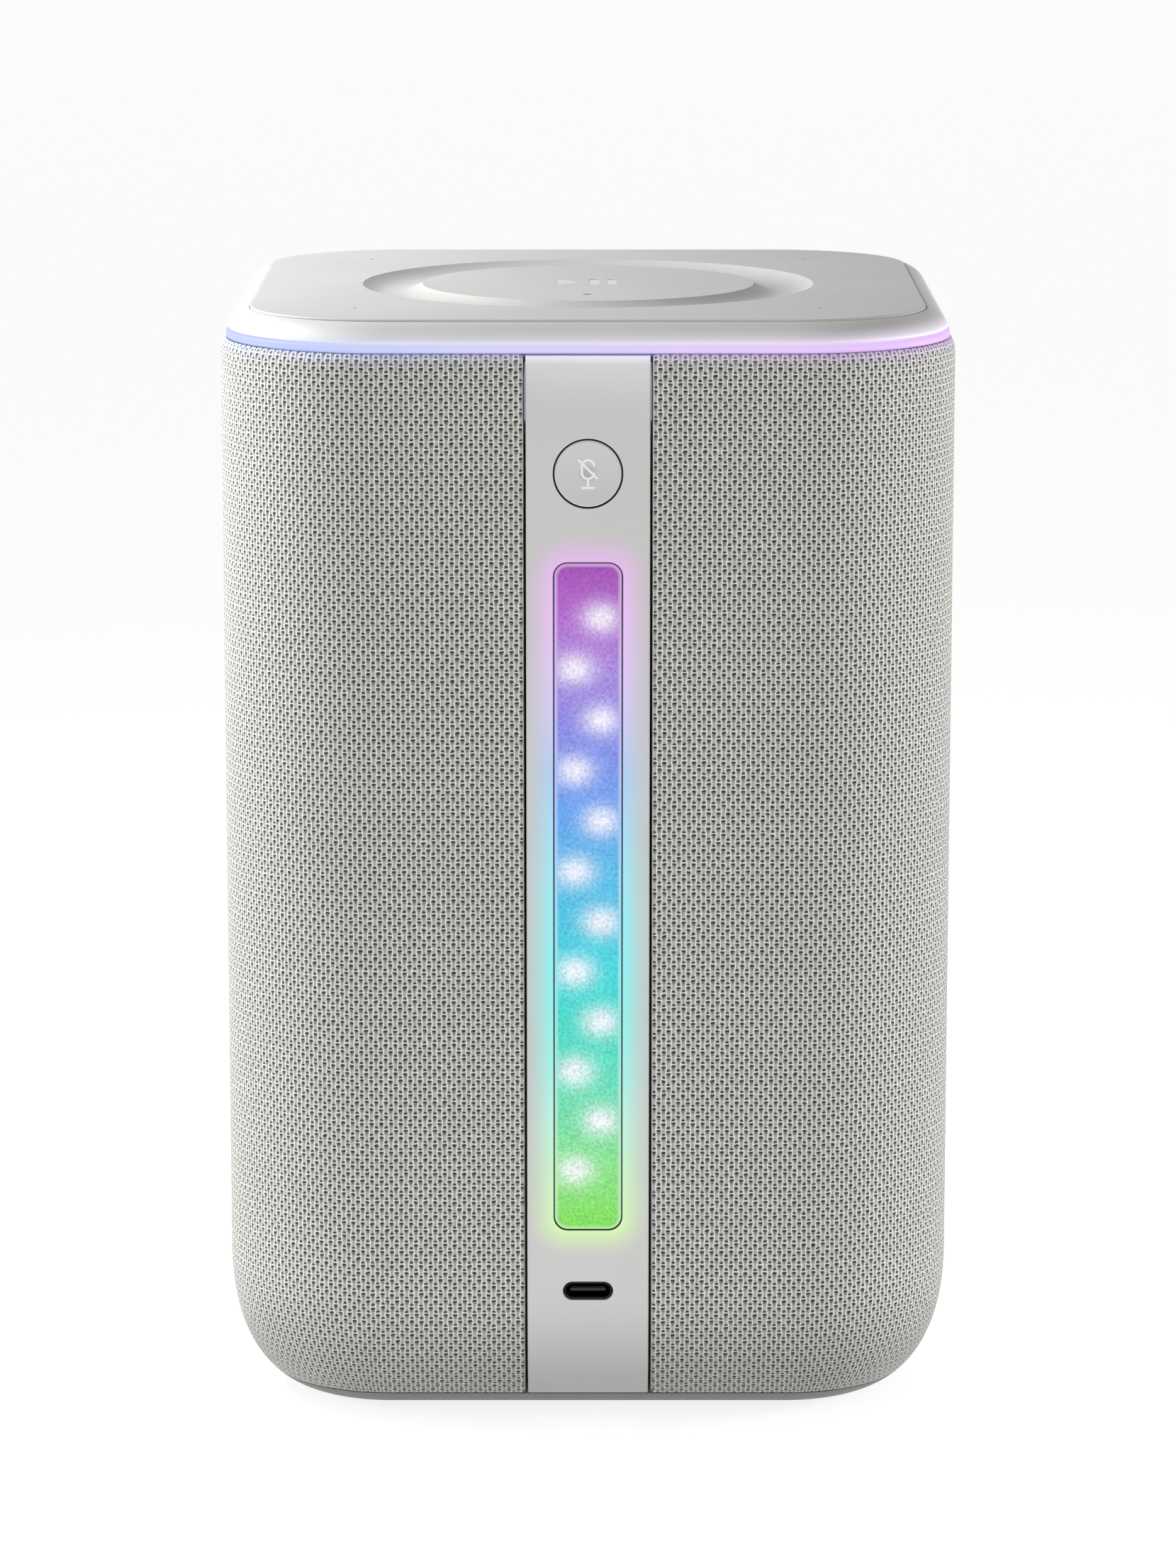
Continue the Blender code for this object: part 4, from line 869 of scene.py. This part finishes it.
sign = {
    "stroke": 0.42 * mm,
    "thick": 0.03 * mm,
    "step": 0.25 * mm,
    "capsule": (1.12 * mm, 1.72 * mm),   # half width and half height of the microphone's head
    "middle": 0.75 * mm,                 # its centre over the button's
    "foot": -2.62 * mm,
    "footHalf": 1.25 * mm,
    "slash": ((-1.75 * mm, 2.50 * mm), (1.72 * mm, -0.95 * mm)),
}


def drawStroke(bm, corners):
    # a ribbon laid on the dished face
    line = [Vector(corners[0])]
    for start, end in zip(corners, corners[1:]):
        start, end = Vector(start), Vector(end)
        count = max(1, round((end - start).length / sign["step"]))
        line += [start.lerp(end, k / count) for k in range(1, count + 1)]
    left, right = [], []
    for i, point in enumerate(line):
        along = (line[min(i + 1, len(line) - 1)] - line[max(i - 1, 0)]).normalized()
        side = Vector((-along.y, along.x)) * sign["stroke"] / 2
        for spots, spot in ((left, point + side), (right, point - side)):
            spots.append(bm.verts.new((spot.x, spot.y, button["face"] - dishDepth(spot.length))))
    for a, b, c, d in zip(left, left[1:], right[1:], right):
        bm.faces.new((a, d, c, b))


def makeSign():
    # White pad-printed ink: a thin, slightly glossy film with a soft edge
    ink, tree, shader, place = startMaterial("white printed ink", {"Roughness": 0.35})
    addGrain(tree, shader, place, 0.3 * mm, ("#ECECEA", "#F8F8F6"))
    halfX, halfY = sign["capsule"]
    outline = []
    for step in range(49):
        angle = math.tau * step / 48
        y = (halfY - halfX) * (1 if math.sin(angle) >= 0 else -1) + halfX * math.sin(angle)
        outline.append((halfX * math.cos(angle), sign["middle"] + y))
    foot, wide = sign["foot"], sign["footHalf"]
    bm = bmesh.new()
    stem = [(0, sign["middle"] - halfY), (0, foot)]
    for stroke in (outline, stem, [(-wide, foot), (wide, foot)], sign["slash"]):
        drawStroke(bm, stroke)
    piece = meshFrom("muteSign", bm, ink)
    thicken = piece.modifiers.new("thicken", "SOLIDIFY")
    thicken.thickness = sign["thick"]
    thicken.offset = 1.0
    standRear(piece, button["centre"], "mute_button", "button_plastic")


makeButton()
makeSign()
print("the mute button and its sign are made")


# ---- power inlet
def makeInlet():
    # Blackened stainless shell: dark metal with a soft, fine-grained reflection
    steel, tree, shader, place = startMaterial("blackened stainless steel", {"Metallic": 1.0})
    addGrain(tree, shader, place, 0.25 * mm, ("#2A2A2C", "#38383B"), 3.0, (0.26, 0.40))
    size, wall, back = inlet["size"], inlet["wall"], inlet["back"]
    rings = [(*size, back)]
    for step in range(7):
        # the rim is rolled over in a half circle
        angle = math.pi * step / 6
        drop = wall / 2 * (1 - math.sin(angle))
        rings.append(ringAt(size, wall / 2 * (1 - math.cos(angle)), inlet["mouth"] - drop))
    rings.append(ringAt(size, wall, back))
    piece = loft("usbShell", rings, steel, ends=False)
    standRear(piece, inlet["centre"], "body", "dark_plated_steel", "usb_shell")


tongue = {
    "front": -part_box("usb_tongue")[0].y,
    "back": -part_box("usb_tongue")[1].y,
    "size": (3.345 * mm, 0.35 * mm, 0.3 * mm),      # half width, half height, corner
    "nose": 0.12 * mm,
    "block": (3.87 * mm, 0.98 * mm, 0.8 * mm),
    "blockFront": 62.2 * mm,
    "contacts": 12,
    "pitch": 0.5 * mm,
    "contact": (0.30 * mm, 0.05 * mm, 3.4 * mm),
    "contactStart": 0.5 * mm,
}


def makeContactTree():
    # Geometry Nodes: a row of flat contacts on each side of the tongue
    tree, given = startTree("contact rows", ("Count", "Int"), ("Pitch", "Float"), ("Contact", "Vector"),
                            ("Lift", "Float"), ("Reach", "Float"))
    gaps = addNode(tree, "Math", [given["Count"], 1.0], "SUBTRACT")
    span = addNode(tree, "Math", [gaps, given["Pitch"]], "MULTIPLY")
    lift = addNode(tree, "Math", [given["Lift"], 2.0], "MULTIPLY")
    grid = addNode(tree, "MeshGrid", [span, lift, given["Count"], 2])
    contact = addNode(tree, "MeshCube", {"Size": given["Contact"]})
    rows = addNode(tree, "InstanceOnPoints", {"Points": grid, "Instance": contact})
    out = addNode(tree, "CombineXYZ", {"Z": given["Reach"]})
    rows = addNode(tree, "TranslateInstances", {"Instances": rows, "Translation": out})
    endTree(tree, rows, given["Material"])
    return tree


def makeTongue():
    # Black glass-filled nylon: dull, with a barely visible fibre mottling
    nylon, tree, shader, place = startMaterial("glass-filled nylon", {"Roughness": 0.5})
    addGrain(tree, shader, place, 0.4 * mm, ("#0C0C0C", "#161616"))
    size, front, nose = tongue["size"], tongue["front"], tongue["nose"]
    rings = [(*tongue["block"], tongue["back"]), (*tongue["block"], tongue["blockFront"]),
             (*size, tongue["blockFront"]), (*size, front - nose), ringAt(size, nose / 3, front - nose / 3),
             ringAt(size, nose, front)]
    piece = loft("usbTongue", rings, nylon, steps=6)
    standRear(piece, inlet["centre"], "body", "black_plastic", "usb_tongue")

    # Gold flash over nickel: small warm bright strips
    gold, tree, shader, place = startMaterial("gold-flashed contact", {"Roughness": 0.25, "Metallic": 1.0})
    addGrain(tree, shader, place, 0.2 * mm, ("#C9A45A", "#E0BE74"))
    wide, thick, long = tongue["contact"]
    pads = runTree("usbContacts", makeContactTree(), Count=tongue["contacts"], Pitch=tongue["pitch"],
                   Contact=tongue["contact"], Lift=size[1] + thick / 4,
                   Reach=front - tongue["contactStart"] - long / 2, Material=gold)
    standRear(pads, inlet["centre"], "body", "copper_coil")


makeInlet()
makeTongue()
print("the power inlet is made")

# ---- touch plate, its play mark and the status lamp
plate = {
    "half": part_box("top_plate")[1].x + 0.1 * mm,     # the real gap is finer than the CAD's
    "top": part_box("top_plate")[1].z,
    "low": 204.5 * mm,
    "edge": 0.3 * mm,
    "groove": (31.8 * mm, 43.2 * mm),
    "grooveDepth": 1.8 * mm,
    "groovePower": 2.4,
    "grooveSteps": 40,
    "lip": 0.5 * mm,            # how softly the groove starts
    "shades": ("#C0C0BE", "#C6C6C4"),
    "microphones": [middle("microphone_%d" % k) for k in (1, 2, 3, 4)],
    "microphoneHole": 0.5 * mm,
    "status": middle("status_lens"),
    "statusHole": 1.0 * mm,
    "lens": (0.75 * mm, 0.2 * mm),      # radius and crown
    "lensFlange": (2.0 * mm, 1.0 * mm),
}


def circleLoop(bm, radius, z, like):
    # one vertex for each vertex of the outline, in the same direction from the middle
    return [bm.verts.new((*(v.co.to_2d().normalized() * radius), z)) for v in like]


def makeSoftTouch():
    # Matt moulded polycarbonate: pale grey with a very fine even grain
    material, tree, shader, place = startMaterial("matt polycarbonate, fine etched", {"Roughness": 0.48})
    addGrain(tree, shader, place, 40 * mm, plate["shades"], 1.0)
    addGrain(tree, shader, place, 0.35 * mm, None, 3.0, (0.42, 0.56), (0.3, 0.015 * mm))
    return material


mark = {
    "halfHeight": 4.3 * mm,
    "bars": (1.3 * mm, 4.6 * mm),
    "barHalf": 0.95 * mm,
    "triangle": (-6.1 * mm, -1.1 * mm),
    "corner": 0.45 * mm,
    "middle": 1.0 * mm,
    "depth": 0.20 * mm,
    "gap": 0.05 * mm,
}


def markParts(grow, low, high):
    # a play triangle beside two pause bars
    tall, wide = mark["halfHeight"], mark["barHalf"]
    left, tip = mark["triangle"]
    shapes = [[(x - wide, -tall), (x + wide, -tall), (x + wide, tall), (x - wide, tall)]
              for x in mark["bars"]]
    shapes.append([(left, -tall), (tip, 0.0), (left, tall)])
    pieces = []
    for shape in shapes:
        corners = [Vector(corner) for corner in shape]
        centre = sum(corners, Vector((0, 0))) / len(corners)
        grown = [corner + (corner - centre).normalized() * grow for corner in corners]
        bm = bmesh.new()
        loops = [[bm.verts.new((*corner, z)) for corner in grown] for z in (low, high)]
        bridge(bm, loops)
        for loop in loops:
            bm.faces.new(loop)
        upright = [edge for edge in bm.edges if abs(edge.verts[0].co.z - edge.verts[1].co.z) > 0.01 * mm]
        bmesh.ops.bevel(bm, geom=upright, offset=mark["corner"], segments=4, profile=0.5, affect="EDGES")
        pieces.append(meshFrom("mark", bm))
        pieces[-1].location.y = mark["middle"]
    return pieces


def makePlate():
    steps, runs = 14, 24
    inner, outer = plate["groove"]
    half, low, top = plate["half"], plate["low"], plate["top"]
    size = (half, half, body["corner"] - (body["half"] - half))
    bm = bmesh.new()
    rings = [(*size, low)] + [ringAt(size, inset, top - drop) for inset, drop in quarter(plate["edge"], 4)]
    loops = [roundedLoop(bm, *each, steps, runs) for each in rings]
    circles = [(outer + plate["lip"], top)]
    for step in range(plate["grooveSteps"] + 1):
        across = 1 - step / plate["grooveSteps"]
        depth = plate["grooveDepth"] * (1 - abs(2 * across - 1) ** plate["groovePower"])
        circles.append((inner + across * (outer - inner), top - depth))
    circles.append((inner - plate["lip"], top))
    loops += [circleLoop(bm, radius, z, loops[0]) for radius, z in circles]
    bridge(bm, loops)
    bm.faces.new(loops[0])
    bm.faces.new(loops[-1])
    piece = meshFrom("topPlate", bm, makeSoftTouch(), smooth=40)
    holes = [(spot, plate["microphoneHole"]) for spot in plate["microphones"]]
    tools = []
    for spot, radius in [*holes, (plate["status"], plate["statusHole"])]:
        profile = [(0, low - mm), (radius, low - mm), (radius, top + mm), (0, top + mm)]
        tools.append(turn("drill", profile, steps=32))
        tools[-1].location = (spot.x, spot.y, 0)
    cut(piece, tools + markParts(mark["gap"], top - mark["depth"], top + mm))
    stand(piece, "body", "plate_plastic", "top_plate")


def makeMark():
    # Vacuum-metallised inlay: smooth and silvery, so the mark shows by what it reflects
    gloss, tree, shader, place = startMaterial("vacuum-metallised inlay", {
        "Roughness": 0.12, "Metallic": 1.0})
    addGrain(tree, shader, place, 4 * mm, ("#E8E8EA", "#F4F4F6"))
    bm = bmesh.new()
    low, high = plate["top"] - mark["depth"] + 0.01 * mm, plate["top"] - mark["gap"]
    for part in markParts(-mark["gap"], low, high):
        settle(part)
        bm.from_mesh(part.data)
        bpy.data.objects.remove(part)
    stand(meshFrom("playMark", bm, gloss), "body", "plate_plastic")


def makeStatusLens():
    # Clear polycarbonate light pipe, unlit: a small glassy dot
    clear, tree, shader, place = startMaterial("clear polycarbonate pipe", {
        "Roughness": 0.08, "Coat Weight": 1.0})
    addGrain(tree, shader, place, 0.8 * mm, ("#8A8A88", "#A2A2A0"))
    low, high = (corner.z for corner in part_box("status_lens"))
    (radius, crown), (wide, thick) = plate["lens"], plate["lensFlange"]
    profile = [(0, low), (wide, low), (wide, low + thick), (radius, low + thick)]
    for step in range(6):
        angle = math.radians(90 * step / 5)
        profile.append((radius * math.cos(angle), high - crown * (1 - math.sin(angle))))
    piece = turn("statusLens", profile, clear, steps=48)
    piece.location = (plate["status"].x, plate["status"].y, 0)
    settle(piece)
    stand(piece, "body", "lens_plastic", "status_lens")


makePlate()
makeMark()
makeStatusLens()
print("the touch plate is made")

# ---- shoulder frame
shoulder = {
    "half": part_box("top_frame")[1].x,
    "top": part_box("top_frame")[1].z,
    "low": 203.05 * mm,
    "innerHalf": 62.8 * mm,
    "power": 1.45,
    "edge": 0.15 * mm,
    "crown": 0.4 * mm,          # the outer curve ends this far over the low edge
    "seat": 204.2 * mm,
    "seatHalf": 48.0 * mm,
    "skirt": (55.4 * mm, 57.4 * mm),
    "skirtLow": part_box("top_frame")[0].z,
    "spill": (3.3 * mm, 0.34),
}


def makeShoulder():
    material, tree, shader, place, tint = satinShell("satin polycarbonate shoulder", 0.45 * mm, False)
    spill = addSpill(tree, place, unlit, ring["top"], *shoulder["spill"], ring["colours"])
    feed(shader, {"Specular IOR Level": 0.25, "Emission Color": spill, "Emission Strength": 1.0})
    low, top, edge, seat = shoulder["low"], shoulder["top"], shoulder["edge"], shoulder["seat"]
    inset, inner, sill, skirtIn, skirtOut = (
        body["half"] - half for half in (shoulder["half"], shoulder["innerHalf"], shoulder["seatHalf"],
                                         *shoulder["skirt"]))
    curve = cornerCurve(inner - 0.1 * mm - inset, top - low - shoulder["crown"], shoulder["power"],
                        0.0, math.pi / 2, 20)
    section = [(inset + edge, low), (inset, low + edge), *[(inset + x, top - depth) for x, depth in curve],
               (inner, top - edge), (inner, seat), (sill, seat), (sill, low), (skirtIn, low),
               (skirtIn, shoulder["skirtLow"]), (skirtOut, shoulder["skirtLow"]), (skirtOut, low)]
    piece = sweepRound("shoulderFrame", section, material, smooth=40)
    stand(piece, "body", "frame_plastic", "top_frame")


makeShoulder()

# ---- base tray and foot pad
base = {
    "low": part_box("base_tray")[0].z,
    "top": 3.7 * mm,
    "seat": 1.8 * mm,
    "skin": 2.2 * mm,
    "floor": 4.2 * mm,
    "spigotHalf": 55.5 * mm,
    "spigotWall": 1.8 * mm,
    "spigotTop": 10.0 * mm,
    "foot": (49.5 * mm, 49.5 * mm, 12.3 * mm),      # half sides and corner
    "footThick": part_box("foot_pad")[1].z,
    "footEdge": 0.4 * mm,
    "pipMargin": 5.5 * mm,
    "pipRadius": 1.1 * mm,
    "pipHeight": 0.25 * mm,
    "pipPitch": 4.2 * mm,
}


def makeTray():
    # Moulded ABS: dark neutral grey, slightly shiny, with a coarse leather-like grain
    plastic, tree, shader, place = startMaterial("grained ABS", {})
    addGrain(tree, shader, place, 0.7 * mm, ("#626260", "#6C6C6A"), 4.0, (0.42, 0.62), (0.4, 0.03 * mm))
    size = (body["half"], body["half"], body["corner"])
    skin = [point for point in baseCurve(base["low"], 0.0, 60) if point[1] < base["top"]]
    skin.append(baseCurve(base["top"], 0.0, 60)[0])
    skin.append(baseCurve(base["top"], base["skin"], 60)[0])
    inside = body["half"] - base["spigotHalf"]
    skin += [(inside, skin[-1][1]), (inside, base["spigotTop"])]
    skin += [(inside + base["spigotWall"], z) for z in (base["spigotTop"], base["floor"])]
    rings = [ringAt(base["foot"], -body["gap"], z) for z in (base["seat"], base["low"])]
    rings += [ringAt(size, *point) for point in skin]
    stand(loft("baseTray", rings, plastic, steps=20), "body", "base_plastic", "base_tray")


def makePipTree():
    # Geometry Nodes: grip pips in rows under the foot, kept clear of its edge
    tree, given = startTree("grip pips", ("Reach", "Float"), ("Pitch", "Float"), ("Radius", "Float"),
                            ("Height", "Float"), ("Seed", "Int"))
    span = addNode(tree, "Math", [given["Reach"], 2.0], "MULTIPLY")
    cells = addNode(tree, "Math", [span, given["Pitch"]], "DIVIDE")
    cells = addNode(tree, "Math", [cells], "FLOOR")
    points = addNode(tree, "Math", [cells, 1.0], "ADD")
    grid = addNode(tree, "MeshGrid", [span, span, points, points])
    foot = addNode(tree, "Math", [given["Radius"], 0.8], "MULTIPLY")
    pip = addNode(tree, "MeshCone", {"Vertices": 12, "Side Segments": 1, "Depth": given["Height"],
                                     "Radius Top": given["Radius"], "Radius Bottom": foot})
    turned = addNode(tree, "FunctionNodeRandomValue", [0.0, math.tau])
    feed(turned, {"Seed": given["Seed"]})
    turned = addNode(tree, "CombineXYZ", {"Z": turned})
    pips = addNode(tree, "InstanceOnPoints", {"Points": grid, "Instance": pip, "Rotation": turned})
    endTree(tree, pips, given["Material"])
    return tree


def makeFoot():
    # Moulded silicone: matt near-black rubber with a dusty sheen
    rubber, tree, shader, place = startMaterial("silicone rubber", {"Roughness": 0.8, "Sheen Weight": 0.2})
    addGrain(tree, shader, place, 0.8 * mm, ("#2B2B2A", "#3A3A38"), 4.0, None, (0.4, 0.05 * mm))
    sole = base["pipHeight"]
    edge = quarter(base["footEdge"], 4, inwards=False)
    rings = [ringAt(base["foot"], inset, sole + drop) for inset, drop in edge]
    rings.append((*base["foot"], base["footThick"]))
    stand(loft("footPad", rings, rubber, steps=14), "body", "foot_rubber", "foot_pad")
    pips = runTree("gripPips", makePipTree(), Reach=base["foot"][0] - base["pipMargin"],
                   Pitch=base["pipPitch"], Radius=base["pipRadius"], Height=sole, Seed=4, Material=rubber)
    stand(pips, "body", "foot_rubber")


makeTray()
makeFoot()
print("shoulder, tray and foot are made")

# ---- pieces inside, which keep their own shape and get their real finishes
inner = {
    # finish: (two shades, roughness, metallic, grain in mm, bump in mm, nodes)
    "glass-filled nylon, moulded": (("#3A3A3A", "#464646"), 0.65, 0.0, 0.8, 0.04,
                                    ["grille_shell", "cabinet_tub", "cabinet_lid", "tweeter_plate"]),
    "white reflector polycarbonate": (("#E4E4E0", "#F0F0EC"), 0.45, 0.0, 0.6, 0.02,
                                      ["light_reflector", "mute_switch_plunger"]),
    "green solder mask on glass epoxy": (("#0C3B22", "#145233"), 0.35, 0.0, 1.6, 0.02,
                                         ["rear_board", "main_board", "touch_board", "ring_light_board"]),
    "epoxy lamp package": (("#D8D2A6", "#EDE8C4"), 0.30, 0.0, 0.9, 0.01,
                           ["led_%02d" % (k + 1) for k in range(bar["lampCount"])]),
    "black moulded nylon": (("#141414", "#202020"), 0.5, 0.0, 0.5, 0.02, ["mute_switch_body"]),
    "treated woven cloth": (("#8C6A34", "#A8844A"), 0.9, 0.0, 0.5, 0.08, ["woofer_spider", "tweeter_dome"]),
    "ferrite and zinc-plated steel": (("#3E3E42", "#4A4A4F"), 0.42, 1.0, 0.7, 0.01,
                                      ["tweeter_motor", "woofer_basket", "woofer_magnet"]),
    "coated paper pulp": (("#1B1B1D", "#2A2A2C"), 0.8, 0.0, 1.2, 0.10, ["woofer_cone"]),
    "butyl rubber": (("#161616", "#212121"), 0.75, 0.0, 0.6, 0.03,
                     ["woofer_surround", "radiator_surround_left", "radiator_surround_right"]),
    "enamelled copper wire": (("#B4622E", "#D0834A"), 0.3, 1.0, 0.3, 0.03, ["woofer_voice_coil"]),
    "tin-plated steel": (("#A9A9AC", "#BFBFC2"), 0.3, 1.0, 0.8, 0.01,
                         ["shield_can", *["base_screw_%d" % k for k in (1, 2, 3, 4)],
                          *["microphone_%d" % k for k in (1, 2, 3, 4)]]),
    "extruded aluminium": (("#B9BABC", "#CFD0D2"), 0.35, 1.0, 0.5, 0.02,
                           ["heat_sink", "radiator_plate_left", "radiator_plate_right"]),
    "polyimide flex": (("#8A4B10", "#A25E1C"), 0.3, 0.0, 1.0, 0.01, ["rear_flex_cable", "top_flex_cable"]),
}


def finishInner():
    for name, (shades, roughness, metallic, grainSize, bumpDepth, nodes) in inner.items():
        material, tree, shader, place = startMaterial(name, {"Metallic": metallic})
        addGrain(tree, shader, place, grainSize * mm, shades, 3.0, (roughness - 0.08, roughness + 0.08),
                 (0.5, bumpDepth * mm))
        for node in nodes:
            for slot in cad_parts[node].material_slots:
                slot.material = material


finishInner()
print("the inner pieces have their finishes")
